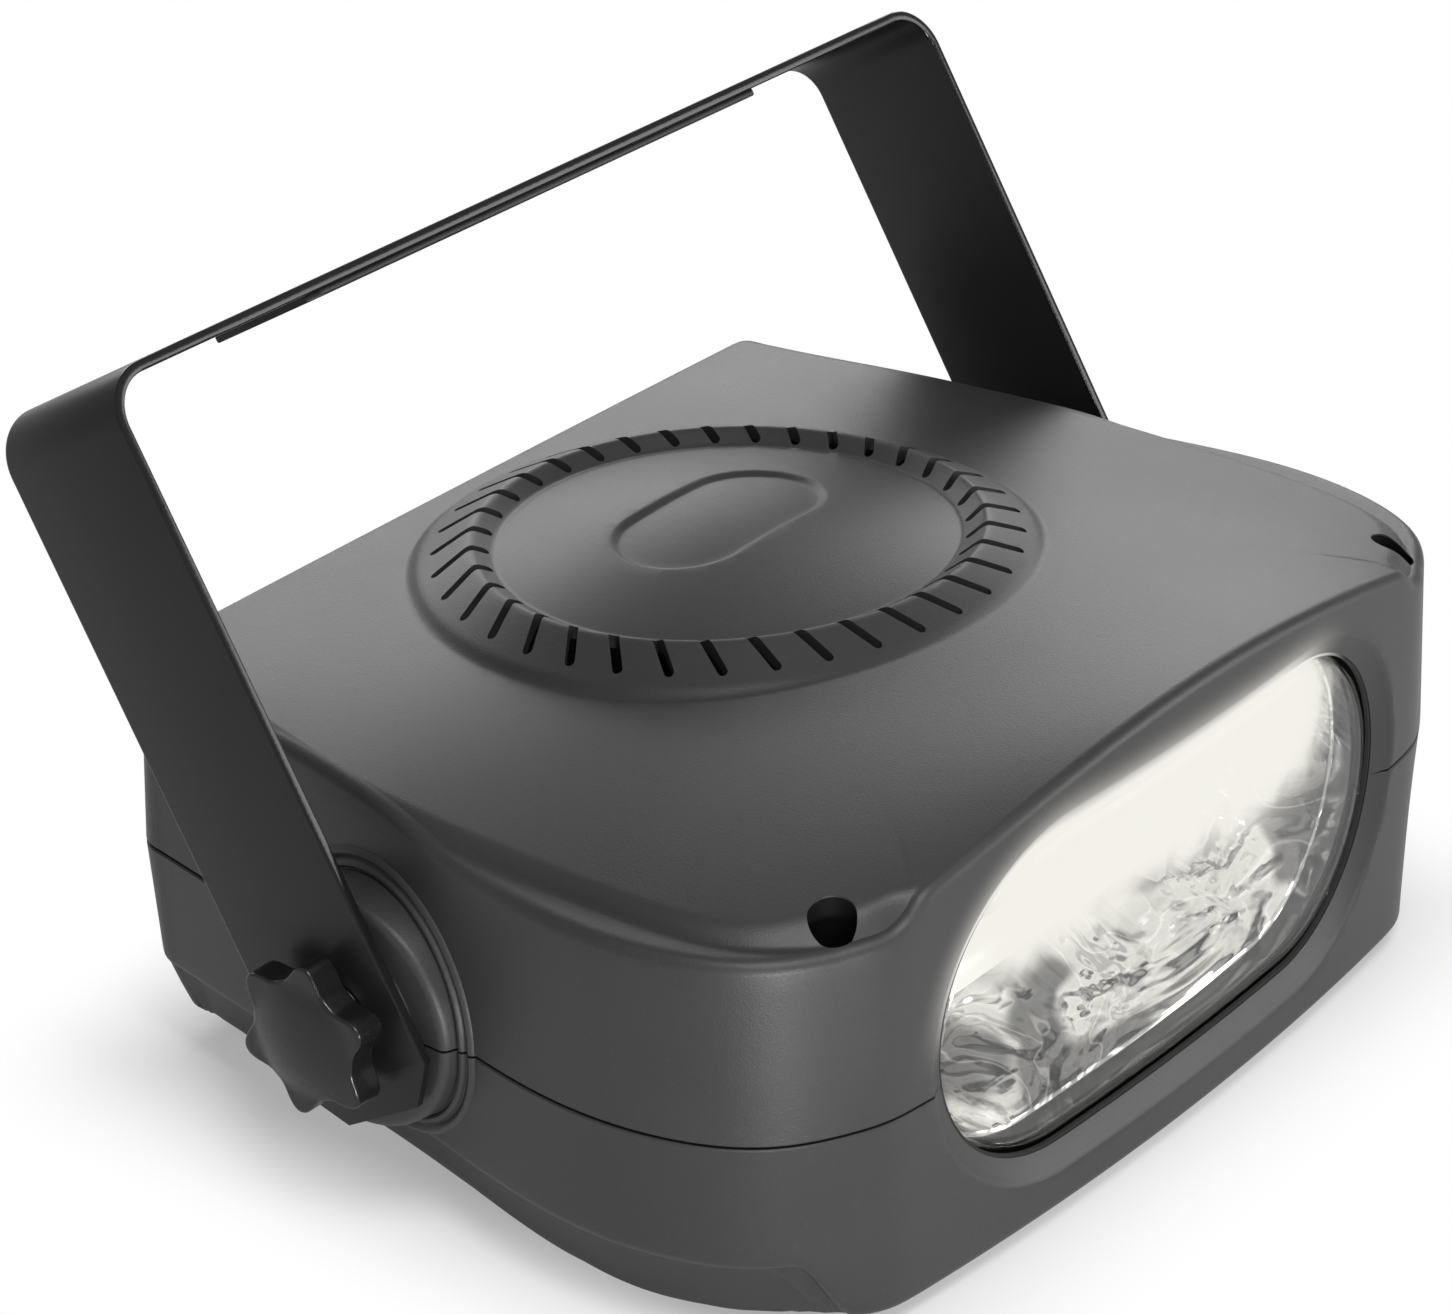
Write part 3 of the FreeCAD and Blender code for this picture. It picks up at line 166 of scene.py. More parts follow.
class Graph:
    """Node tree of one material or world."""

    def __init__(self, name: str, world: bool = False) -> None:
        """Starts an empty material or world.

        Args:
            name: its name.
            world: makes a world.
        """
        self.owner = (bpy.data.worlds if world else bpy.data.materials).new(name)
        self.owner.use_nodes = True
        self.tree = self.owner.node_tree
        self.tree.nodes.clear()

    def add(self, kind: str, settings: dict | None = None, inputs: dict | None = None,
            output: int | str = 0) -> Term:
        """Adds a node of any type.

        Args:
            kind: the node's type.
            settings: attributes, which are set first; "stops" gives a ramp's (place, colour) pairs.
            inputs: values or terms by socket index or name.
            output: the socket to return.

        Returns:
            The chosen output.
        """
        made = self.tree.nodes.new(kind)
        for key, value in (settings or {}).items():
            if key == "stops":
                ramp = made.color_ramp
                while len(ramp.elements) < len(value):
                    ramp.elements.new(0.5)
                for element, (place, colour) in zip(ramp.elements, value):
                    element.position = place
                    element.color = (*colour, 1.0)
            else:
                setattr(made, key, value)
        for key, value in (inputs or {}).items():
            socket = made.inputs[key]
            if isinstance(value, Term):
                self.tree.links.new(value.socket, socket)
            elif isinstance(value, tuple) and len(value) == 3 and socket.type == "RGBA":
                socket.default_value = (*value, 1.0)
            else:
                socket.default_value = value
        return Term(self, made.outputs[output])

    def place(self) -> Term:
        """Object coordinates in metres."""
        return self.add("ShaderNodeTexCoord", output="Object")

    def outputs(self, kind: str, names: Sequence[str | int], inputs: dict | None = None) -> list[Term]:
        """Adds a node and returns several of its outputs.

        Args:
            kind: the node's type.
            names: the outputs' names or indices.
            inputs: values or terms by socket index or name.

        Returns:
            The outputs.
        """
        sockets = self.add(kind, inputs=inputs).socket.node.outputs
        return [Term(self, sockets[name]) for name in names]

    def axes(self) -> list[Term]:
        """Object coordinates as three values in millimetres."""
        spot = self.add("ShaderNodeVectorMath", {"operation": "SCALE"}, {0: self.place(), "Scale": 1 / MM})
        return self.outputs("ShaderNodeSeparateXYZ", (0, 1, 2), {0: spot})

    def rays(self) -> list[Term]:
        """Whether a ray comes from the camera, through something clear or off something glossy."""
        return self.outputs("ShaderNodeLightPath", ("Is Camera Ray", "Is Transmission Ray", "Is Glossy Ray"))

    def noise(self, scale: float, detail: float = 2.0, roughness: float = 0.5, stretch: Colour = (1, 1, 1),
              twist: float = 0.0) -> Term:
        """Noise over the object.

        Args:
            scale: waves per metre.
            detail: octaves.
            roughness: weight of the finer octaves.
            stretch: scale along each axis.
            twist: distortion.

        Returns:
            The noise's value, about 0.5.
        """
        spot = self.add("ShaderNodeMapping", inputs={"Vector": self.place(), "Scale": stretch})
        values = {"Vector": spot, "Scale": scale, "Detail": detail, "Roughness": roughness, "Distortion": twist}
        return self.add("ShaderNodeTexNoise", inputs=values)

    def halo(self, start: float, end: float, uneven: float = 0.0) -> Term:
        """Painted glow of the lamp in the upper part of the window.

        Args:
            start: distance from its middle line where it begins.
            end: distance where it is full.
            uneven: how far its rim wavers.

        Returns:
            The share of the painted glow.
        """
        glow = LampGlow()
        x, _, z = self.axes()
        near = x - x.at_least(glow.left).at_most(glow.right)
        gap = (near ** 2 + (z - glow.height) ** 2).root()
        if uneven:
            gap = gap + (self.noise(glow.rim_scale, 2.0, 0.5, twist=glow.rim_twist) - 0.5) * uneven
        return gap.fade(start, end) * x.fade(glow.weak_end, glow.weak_start, glow.weakest, 1.0)

    def blend(self, factor: Term | float, first: Term | Colour, second: Term | Colour) -> Term:
        """Mixes two colours.

        Args:
            factor: share of the second colour.
            first: the first colour.
            second: the second colour.

        Returns:
            The mixed colour.
        """
        settings = {"data_type": "RGBA", "blend_type": "MIX"}
        return self.add("ShaderNodeMix", settings, {0: factor, 6: first, 7: second}, output=2)

    def bump(self, height: Term, strength: float, distance: float) -> Term:
        """Bump from a height.

        Args:
            height: the height's value.
            strength: share of the effect.
            distance: height of a full step in metres.

        Returns:
            The normal.
        """
        return self.add("ShaderNodeBump", inputs={"Strength": strength, "Distance": distance, "Height": height})

    def solid(self, values: dict, light: Term | None = None) -> bpy.types.Material:
        """Finishes the material with one principled shader.

        Args:
            values: its sockets' values or terms by name.
            light: colour that it gives off.

        Returns:
            The material.
        """
        if light is not None:
            values = {"Emission Strength": 1.0, **values, "Emission Color": light}
        return self.finish(self.add("ShaderNodeBsdfPrincipled", inputs=values))

    def finish(self, shader: Term, output: str = "ShaderNodeOutputMaterial") -> bpy.types.ID:
        """Links the surface and hands the material or world over.

        Args:
            shader: the surface shader.
            output: type of the output node.

        Returns:
            The material or world.
        """
        end = self.tree.nodes.new(output)
        self.tree.links.new(shader.socket, end.inputs["Surface"])
        return self.owner


# ---------------------------------------------------------------------------------------------------
# Finishes
# ---------------------------------------------------------------------------------------------------
def scaled(colour: Colour, factor: float) -> Colour:
    """A colour made darker or lighter."""
    return tuple(min(part * factor, 1.0) for part in colour)


class Grain(Enum):
    """Surface textures of the moulded and coated pieces: waves per metre and depth in metres."""

    FINE = (2600.0, 0.00005)
    SATIN = (1500.0, 0.00003)
    SMOOTH = (500.0, 0.00001)


@dataclass(frozen=True)
class Arris:
    """Shinier edges of the leaning strip: its middle line's place, its lean and where the shine starts."""

    along: float = 6.45
    height: float = 41.8
    lean: float = math.radians(31.7)
    inner: float = 15.8
    outer: float = 16.1
    polish: float = 0.24


@dataclass(frozen=True)
class PlainFinish:
    """Solid finish with a fine grain, slight clouding, a changing roughness and, where halo is set, a painted glow of
    the lamp.
    """

    name: str
    colour: Colour
    roughness: float
    grain: Grain = Grain.SATIN
    metallic: float = 0.0
    specular: float = 0.5
    coat: float = 0.0
    clouding: float = 0.12
    cloud_scale: float = 38.0
    bump: float = 0.35
    halo: float = 0.0
    halo_colour: Colour = (1.0, 0.98, 0.92)
    arris: Arris | None = None

    def build(self) -> bpy.types.Material:
        """Makes the material.

        Returns:
            The material.
        """
        graph = Graph(self.name)
        scale, depth = self.grain.value
        grain = graph.noise(scale, 3.0, 0.6)
        cloud = graph.noise(self.cloud_scale, 3.0, 0.55)
        tone = graph.blend(cloud.fade(0.3, 0.7), scaled(self.colour, 1 - self.clouding),
                           scaled(self.colour, 1 + self.clouding))
        rough = self.roughness + (cloud - 0.5) * 0.08 + (grain - 0.5) * 0.06
        if self.arris:
            edge = self.arris
            _, y, z = graph.axes()
            away = (y - edge.along) * math.cos(edge.lean) - (z - edge.height) * math.sin(edge.lean)
            rough = rough - (away * away).root().fade(edge.inner, edge.outer) * edge.polish
        # A halo above 0 paints the lamp's glow onto the finish as emission.
        light = graph.blend(graph.halo(20.0, 8.0) * self.halo, BLACK, self.halo_colour) if self.halo else None
        return graph.solid({"Base Color": tone, "Roughness": rough, "Metallic": self.metallic,
                            "Specular IOR Level": self.specular, "Coat Weight": self.coat,
                            "Normal": graph.bump(grain, self.bump, depth)}, light)


@dataclass(frozen=True)
class HousingFinish:
    """Charcoal moulded plastic with a fine spark-eroded grain, with a painted glow of the lamp along the window's
    upper edge.
    """

    name: str = "charcoal_moulding"
    colour: Colour = (0.026, 0.026, 0.0263)
    roughness: float = 0.43
    glow: float = 0.80
    glow_colour: Colour = (1.0, 0.975, 0.91)
    glow_reach: float = 13.0
    glow_rise: tuple[float, float] = (44.0, 68.0)
    glow_right: tuple[float, float] = (52.0, 26.0)
    glow_back: tuple[float, float] = (-80.0, -86.0)
    window_run: float = 35.5
    window_end: float = 30.5
    window_height: float = 46.8

    def build(self) -> bpy.types.Material:
        """Makes the material.

        Returns:
            The material.
        """
        graph = Graph(self.name)
        grain = graph.noise(2300.0, 3.0, 0.65)
        cloud = graph.noise(22.0, 3.0, 0.5)
        speck = graph.noise(900.0, 2.0, 0.5)
        tone = graph.blend(cloud.fade(0.3, 0.7), scaled(self.colour, 0.9), scaled(self.colour, 1.12))
        tone = graph.blend(speck.fade(0.62, 0.8, 0.0, 0.35), tone, scaled(self.colour, 1.9))
        rough = self.roughness + (cloud - 0.5) * 0.1 + (grain - 0.5) * 0.1
        x, y, z = graph.axes()
        # Painted glow: the front face near the window's upper edge gives off light as if the lit lamp spilled onto it.
        near = x - x.at_least(-self.window_run).at_most(self.window_run)
        gap = (near ** 2 + (z - self.window_height) ** 2).root() - self.window_end
        side = z.fade(*self.glow_rise) * x.fade(*self.glow_right) * y.fade(*self.glow_back)
        spill = gap.fade(self.glow_reach, -1.0) ** 2.0 * side
        return graph.solid({"Base Color": tone, "Roughness": rough, "Specular IOR Level": 0.4,
                            "Normal": graph.bump(grain, 0.55, 0.0001)},
                           graph.blend(spill * self.glow, BLACK, self.glow_colour))


@dataclass(frozen=True)
class LensFinish:
    """Clear polished window: it lets the light through and reflects at a slant, with a painted glow of the lit lamp
    over its upper part.
    """

    name: str = "clear_window"
    haze: float = 0.035
    slant: float = 0.42
    bloom: float = 0.90
    bloom_colour: Colour = (0.90, 0.885, 0.825)

    def build(self) -> bpy.types.Material:
        """Makes the material.

        Returns:
            The material.
        """
        graph = Graph(self.name)
        normal = graph.bump(graph.noise(60.0, 2.0, 0.5), 0.2, 0.0004)
        facing = graph.add("ShaderNodeLayerWeight", inputs={"Blend": 0.5, "Normal": normal}, output="Facing")
        clear = graph.add("ShaderNodeBsdfTransparent", inputs={"Color": (0.975, 0.975, 0.97)})
        gloss = graph.add("ShaderNodeBsdfPrincipled", inputs={
            "Base Color": (0.93, 0.93, 0.93), "Metallic": 1.0, "Roughness": 0.06, "Normal": normal})
        share = (facing ** 4.0 * self.slant + self.haze).at_most(1.0)
        window = graph.add("ShaderNodeMixShader", inputs={0: share, 1: clear, 2: gloss})
        # Painted glow: the window's upper part gives off light round the lamp's line.
        halo = graph.halo(17.0, 6.0, 16.0) * self.bloom
        light = graph.add("ShaderNodeEmission", inputs={"Color": self.bloom_colour, "Strength": 1.0})
        return graph.finish(graph.add("ShaderNodeMixShader", inputs={0: halo, 1: window, 2: light}))


@dataclass(frozen=True)
class ReflectorFinish:
    """Bright metallised reflector with broad crumpled folds, with a painted glow of the tube in front of it and
    painted glints along the folds and the lip.
    """

    name: str = "crinkled_bright_metal"
    glow: float = 0.80
    glow_colour: Colour = (1.0, 0.985, 0.93)
    glow_far: float = 26.0
    glow_near: float = 13.0
    tube_half: float = 48.0
    tube_depth: float = -62.35
    tube_height: float = 46.8
    front: float = -92.35
    bow: float = 667.0
    lip: float = 10.2

    def build(self) -> bpy.types.Material:
        """Makes the material.

        Returns:
            The material.
        """
        graph = Graph(self.name)
        folds = graph.noise(30.0, 2.5, 0.5, stretch=(0.6, 1.0, 1.2), twist=1.8)
        streak = graph.noise(120.0, 2.0, 0.5, stretch=(0.35, 1.0, 1.5), twist=1.2)
        patch = graph.noise(34.0, 1.0, 0.4, stretch=(0.7, 1.0, 1.0), twist=1.6)
        # Painted glints: thin bright lines along the folds give off light.
        fold_glint = ((folds - 0.5) * (folds - 0.5)).root().fade(0.016, 0.0)
        x, y, z = graph.axes()
        depth = y - self.front - x * x / (2 * self.bow)
        collar = depth.fade(self.lip, self.lip - 0.3)
        # Painted highlight: a thin bright line along the reflector's lip gives off light.
        lip = depth.fade(self.lip - 0.15, self.lip) * depth.fade(self.lip + 0.3, self.lip + 0.15)
        # Painted glow: the wall near the tube gives off light and its base colour darkens there, as if lit by the
        # tube.
        near = x - x.at_least(-self.tube_half).at_most(self.tube_half)
        gap = (near ** 2 + (y - self.tube_depth) ** 2 + (z - self.tube_height) ** 2).root()
        lit = gap.fade(self.glow_far, self.glow_near) * patch.fade(0.25, 0.55, 0.72, 1.0)
        glow = (lit * self.glow + fold_glint * (lit * 0.3 + 0.16)) * (1.0 - collar) + lip * 0.3
        tone = graph.blend(patch.fade(0.42, 0.54), (0.20, 0.20, 0.205), (0.78, 0.78, 0.775))
        tone = graph.blend(lit * 0.85, tone, (0.12, 0.12, 0.11))
        tone = graph.blend(collar, tone, (0.06, 0.06, 0.06))
        rough = 0.09 + streak.fade(0.3, 0.7) * 0.10 + collar * 0.22
        return graph.solid({"Base Color": tone, "Metallic": 1.0, "Roughness": rough,
                            "Normal": graph.bump(folds + streak * 0.03, 1.0, 0.008)},
                           graph.blend(glow, BLACK, self.glow_colour))


@dataclass(frozen=True)
class LitFinish:
    """Lit xenon tube, or the ceramic beside it given a painted glow of the tube: warm white, slightly clouded, dim at
    the left end.
    """

    name: str = "lit_xenon_tube"
    strength: float = 0.88
    dim_end: float = -68.0
    dim_start: float = -30.0

    def build(self) -> bpy.types.Material:
        """Makes the material.

        Returns:
            The material.
        """
        graph = Graph(self.name)
        cloud = graph.noise(90.0, 2.0, 0.5)
        light = graph.blend(cloud.fade(0.2, 0.8), (1.0, 0.975, 0.90), (1.0, 0.99, 0.95))
        light = graph.blend(graph.axes()[0].fade(self.dim_end, self.dim_start), (0.25, 0.245, 0.24), light)
        return graph.solid({"Base Color": (0.1, 0.1, 0.1), "Roughness": 0.3,
                            "Emission Strength": self.strength}, light)


FINISHES = (
    HousingFinish(),
    LensFinish(),
    ReflectorFinish(),
    LitFinish(),
    # The tube holders' ceramic gives off a painted glow of the lit tube.
    LitFinish("lit_ceramic", 0.5),
    PlainFinish("powder_coat", (0.008, 0.008, 0.0083), 0.40, specular=0.32, bump=0.5, arris=Arris()),
    PlainFinish("knob_plastic", (0.008, 0.008, 0.0083), 0.27, specular=0.42),
    # The gasket round the window gives off a painted glow of the lamp.
    PlainFinish("gasket_rubber", (0.012, 0.012, 0.012), 0.75, Grain.FINE, specular=0.3, halo=0.85),
    # Near-black painted shade for the screw wells' cups, which are the same moulding as the shell.
    PlainFinish("deep_well", (0.004, 0.004, 0.004), 0.7, Grain.FINE, specular=0.1),
    PlainFinish("black_fitting", (0.014, 0.014, 0.0145), 0.3, Grain.SMOOTH),
    PlainFinish("zinc_steel", (0.58, 0.58, 0.60), 0.32, Grain.SMOOTH, metallic=1.0),
    PlainFinish("black_steel", (0.012, 0.012, 0.012), 0.5, Grain.SMOOTH, metallic=1.0),
    PlainFinish("black_rubber", (0.012, 0.012, 0.012), 0.75, Grain.FINE, specular=0.3),
    PlainFinish("fibre_washer", (0.03, 0.03, 0.03), 0.7, Grain.FINE),
    PlainFinish("white_ceramic", (0.72, 0.70, 0.65), 0.5, Grain.FINE),
    PlainFinish("green_board", (0.03, 0.14, 0.06), 0.35, Grain.SMOOTH, coat=0.4),
    PlainFinish("dark_part", (0.03, 0.03, 0.035), 0.45, Grain.SMOOTH),
    PlainFinish("sleeved_can", (0.02, 0.035, 0.09), 0.28, Grain.SMOOTH, coat=0.3),
    PlainFinish("varnished_winding", (0.25, 0.09, 0.03), 0.3, coat=0.5),
)
Finishes = dict[str, bpy.types.Material]


# ---------------------------------------------------------------------------------------------------
# Mesh helpers
# ---------------------------------------------------------------------------------------------------
def new_object(name: str, points: np.ndarray, faces: Sequence[Sequence[int]],
               material: bpy.types.Material | None, smooth: bool = True) -> bpy.types.Object:
    """Makes a mesh object from points in millimetres.

    Args:
        name: the object's name.
        points: vertices, one row each.
        faces: vertex indices of each face.
        material: its only material.
        smooth: shades the faces smooth.

    Returns:
        The object, linked to the scene.
    """
    mesh = bpy.data.meshes.new(name)
    mesh.from_pydata((np.asarray(points) * MM).tolist(), [], [list(map(int, f)) for f in faces])
    mesh.validate()
    if material is not None:
        mesh.materials.append(material)
    made = bpy.data.objects.new(name, mesh)
    bpy.context.scene.collection.objects.link(made)
    mesh.polygons.foreach_set("use_smooth", [smooth] * len(mesh.polygons))
    return made


def bridge(rows: Sequence[np.ndarray], closed: bool = True, capped: bool = False) -> list[tuple[int, ...]]:
    """Quads between rows of equal length.

    Args:
        rows: rows of points.
        closed: joins each row's end to its start.
        capped: adds a face over the first and the last row.

    Returns:
        The faces.
    """
    count = len(rows[0])
    last = (len(rows) - 1) * count
    faces = []
    for low in range(0, last, count):
        for i in range(count if closed else count - 1):
            j = (i + 1) % count
            faces.append((low + i, low + j, low + count + j, low + count + i))
    if capped:
        faces += [tuple(reversed(range(count))), tuple(range(last, last + count))]
    return faces


def tidy(target: bpy.types.Object, crease: float = 35.0, merge: float = 0.002) -> bpy.types.Object:
    """Merges doubles, points the faces outwards and marks sharp edges.

    Args:
        target: the object.
        crease: edges above this angle in degrees stay sharp.
        merge: distance in millimetres.

    Returns:
        The same object.
    """
    mesh = target.data
    work = bmesh.new()
    work.from_mesh(mesh)
    bmesh.ops.remove_doubles(work, verts=work.verts, dist=merge * MM)
    bmesh.ops.dissolve_degenerate(work, edges=work.edges, dist=0.0002 * MM)
    bmesh.ops.recalc_face_normals(work, faces=work.faces)
    work.to_mesh(mesh)
    work.free()
    mesh.polygons.foreach_set("use_smooth", [True] * len(mesh.polygons))
    mesh.set_sharp_from_angle(angle=math.radians(crease))
    return target


def skinned(name: str, rows: Sequence[np.ndarray], material: bpy.types.Material | None, crease: float = 35.0,
            capped: bool = False) -> bpy.types.Object:
    """Closed piece from rows of points that each run round it.

    Args:
        name: the object's name.
        rows: the rows.
        material: its material.
        crease: edges above this angle in degrees stay sharp.
        capped: adds a face over the first and the last row.

    Returns:
        The piece.
    """
    return tidy(new_object(name, np.concatenate(rows), bridge(rows, capped=capped), material), crease)


def joined(name: str, parts: Sequence[bpy.types.Object]) -> bpy.types.Object:
    """Joins mesh objects into the first.

    Args:
        name: the result's name.
        parts: the objects.

    Returns:
        The joined object.
    """
    with bpy.context.temp_override(active_object=parts[0], selected_editable_objects=list(parts)):
        bpy.ops.object.join()
    parts[0].name = name
    parts[0].data.name = name
    return parts[0]


def cut(target: bpy.types.Object, tool: bpy.types.Object) -> bpy.types.Object:
    """Cuts one closed mesh out of another and removes the tool.

    Args:
        target: the object that is cut.
        tool: the cutter.

    Returns:
        The cut object, with a plain mesh.
    """
    step = target.modifiers.new("cut", "BOOLEAN")
    step.operation = "DIFFERENCE"
    step.solver = "EXACT"
    step.object = tool
    graph = bpy.context.evaluated_depsgraph_get()
    mesh = bpy.data.meshes.new_from_object(target.evaluated_get(graph))
    target.modifiers.clear()
    old = target.data
    target.data = mesh
    bpy.data.meshes.remove(old)
    bpy.data.objects.remove(tool)
    return target


def soft_min(a: np.ndarray, b: np.ndarray, blend: float) -> np.ndarray:
    """The smaller of two fields, with a rounded change-over of a given width."""
    share = np.maximum(blend - np.abs(a - b), 0.0) / blend
    return np.minimum(a, b) - share ** 2 * blend / 4


def soft_max(a: np.ndarray, b: np.ndarray, blend: float) -> np.ndarray:
    """The larger of two fields, with a rounded change-over of a given width."""
    return -soft_min(-np.asarray(a), -np.asarray(b), blend)


def eased(ring: np.ndarray, passes: int) -> np.ndarray:
    """Evens out values round a ring by mixing each with its neighbours.

    Args:
        ring: the values.
        passes: how many times they are mixed.

    Returns:
        The evened values.
    """
    for _ in range(passes):
        ring = 0.25 * np.roll(ring, 1) + 0.5 * ring + 0.25 * np.roll(ring, -1)
    return ring


def beside(along: np.ndarray) -> np.ndarray:
    """Unit directions to the left of the given ones in their plane."""
    along = along / np.linalg.norm(along, axis=1)[:, None]
    return np.stack([-along[:, 1], along[:, 0]], 1)


def smooth_line(points: Sequence[tuple[float, float]], count: int) -> np.ndarray:
    """Natural cubic curve through points.

    Args:
        points: the points.
        count: how many samples to return.

    Returns:
        The samples.
    """
    knots = np.asarray(points, float)
    place = np.concatenate([[0.0], np.cumsum(np.linalg.norm(np.diff(knots, axis=0), axis=1))])
    gap = np.diff(place)
    size = len(knots)
    system = np.eye(size)
    right = np.zeros((size, 2))
    for i in range(1, size - 1):
        system[i, i - 1:i + 2] = gap[i - 1], 2 * (gap[i - 1] + gap[i]), gap[i]
        right[i] = 6 * ((knots[i + 1] - knots[i]) / gap[i] - (knots[i] - knots[i - 1]) / gap[i - 1])
    bend = np.linalg.solve(system, right)
    at = np.linspace(0, place[-1], count)
    k = np.clip(np.searchsorted(place, at, side="right") - 1, 0, size - 2)
    h = gap[k][:, None]
    b = (at - place[k])[:, None] / h
    a = 1 - b
    return (a * knots[k] + b * knots[k + 1]
            + ((a ** 3 - a) * bend[k] + (b ** 3 - b) * bend[k + 1]) * h ** 2 / 6)


def stadium(half: float, end: float, middle: float, count: int = 96) -> np.ndarray:
    """Upright rounded outline with round ends.

    Args:
        half: half length.
        end: radius of the ends.
        middle: height of its centre.
        count: points, a multiple of four.

    Returns:
        Rows of x and z, anticlockwise from the right-hand tip.
    """
    straight = half - end
    straight = half - end
    turn = np.linspace(-np.pi / 2, np.pi / 2, count // 2 + 1)[:-1]
    flat = 6
    right = np.stack([straight + end * np.cos(turn), end * np.sin(turn)], 1)
    over = np.stack([np.linspace(straight, -straight, flat + 1)[:-1], np.full(flat, end)], 1)
    return np.concatenate([right, over, -right, -over]) + [0.0, middle]


def circle_rows(levels: Sequence[tuple[float, float]], axis: int, centre: Sequence[float],
                count: int) -> list[np.ndarray]:
    """Circles round a line along one axis.

    Args:
        levels: pairs of radius and distance along the axis.
        axis: 0, 1 or 2.
        centre: a point on the line.
        count: points round each circle.

    Returns:
        The rows.
    """
    turn = np.linspace(0, FULL_TURN, count, endpoint=False)
    rows = []
    for radius, along in levels:
        parts = [radius * np.cos(turn), radius * np.sin(turn)]
        parts.insert(axis, np.full(count, float(along)))
        rows.append(np.column_stack(parts) + np.asarray(centre))
    return rows


class RingArray:
    """Geometry Nodes tree that stands copies of a mesh round a circle."""

    inputs = {"Copy": "Object", "Count": "Int", "Radius": "Float", "First": "Float", "Place": "Vector",
              "Turn": "Vector", "Finish": "Material"}
    skew = 0.5  # turn of each copy off the circle's radial line, in radians; 0 stands them radially

    def __init__(self) -> None:
        """Builds the tree, with named inputs."""
        self.tree = bpy.data.node_groups.new("ring_array", "GeometryNodeTree")
        face = self.tree.interface
        self.sockets = {key: face.new_socket(key, in_out="INPUT", socket_type=f"NodeSocket{kind}").identifier
                        for key, kind in self.inputs.items()}
        face.new_socket("Geometry", in_out="OUTPUT", socket_type="NodeSocketGeometry")
        start = self.add("NodeGroupInput").outputs
        ring = self.add("GeometryNodeMeshCircle", {"Vertices": start["Count"], "Radius": start["Radius"]})
        number = self.add("GeometryNodeInputIndex")
        share = self.add("ShaderNodeMath", {0: number.outputs[0], 1: start["Count"]}, operation="DIVIDE")
        angle = self.add("ShaderNodeMath", {0: share.outputs[0], 1: FULL_TURN, 2: self.skew}, operation="MULTIPLY_ADD")
        spin = self.add("ShaderNodeCombineXYZ", {2: angle.outputs[0]})
        copy = self.add("GeometryNodeObjectInfo", {"Object": start["Copy"]}, transform_space="ORIGINAL")
        stand = self.add("GeometryNodeInstanceOnPoints", {
            "Points": ring.outputs[0], "Instance": copy.outputs["Geometry"], "Rotation": spin.outputs[0]})
        tilt = self.add("ShaderNodeCombineXYZ", {2: start["First"]})
        first = self.add("GeometryNodeTransform", {"Geometry": stand.outputs[0], "Rotation": tilt.outputs[0]})
        move = self.add("GeometryNodeTransform", {
            "Geometry": first.outputs[0], "Translation": start["Place"], "Rotation": start["Turn"]})
        real = self.add("GeometryNodeRealizeInstances", {0: move.outputs[0]})
        paint = self.add("GeometryNodeSetMaterial", {"Geometry": real.outputs[0], "Material": start["Finish"]})
        self.add("NodeGroupOutput", {0: paint.outputs[0]})

    def add(self, kind: str, inputs: dict | None = None, **settings: str) -> bpy.types.Node:
        """Adds a node.

        Args:
            kind: the node's type.
            inputs: sockets to link or values to set, by socket index or name.
            settings: attributes, which are set first.

        Returns:
            The node.
        """
        made = self.tree.nodes.new(kind)
        for key, value in settings.items():
            setattr(made, key, value)
        for key, value in (inputs or {}).items():
            if isinstance(value, bpy.types.NodeSocket):
                self.tree.links.new(value, made.inputs[key])
            else:
                made.inputs[key].default_value = value
        return made

    def bake(self, name: str, copy: bpy.types.Object, count: int, radius: float, first: float,
             place: Sequence[float], turn: Sequence[float], finish: bpy.types.Material | None) -> bpy.types.Object:
        """Makes the ring of copies as a plain mesh and removes the single copy.

        Args:
            name: the result's name.
            copy: the object that is repeated; its +X looks outwards.
            count: number of copies.
            radius: circle in millimetres.
            first: angle of the first copy in degrees.
            place: centre in millimetres.
            turn: rotation of the whole ring in degrees.
            finish: material.

        Returns:
            The result.
        """
        host = bpy.data.objects.new(name, bpy.data.meshes.new(name + "_host"))
        bpy.context.scene.collection.objects.link(host)
        step = host.modifiers.new("ring", "NODES")
        step.node_group = self.tree
        values = {"Copy": copy, "Count": count, "Radius": radius * MM, "First": math.radians(first),
                  "Place": tuple(v * MM for v in place), "Turn": tuple(math.radians(v) for v in turn),
                  "Finish": finish}
        for key, value in values.items():
            step[self.sockets[key]] = value
        graph = bpy.context.evaluated_depsgraph_get()
        mesh = bpy.data.meshes.new_from_object(host.evaluated_get(graph))
        mesh.name = name
        host.modifiers.clear()
        host.data = mesh
        bpy.data.objects.remove(copy)
        return host


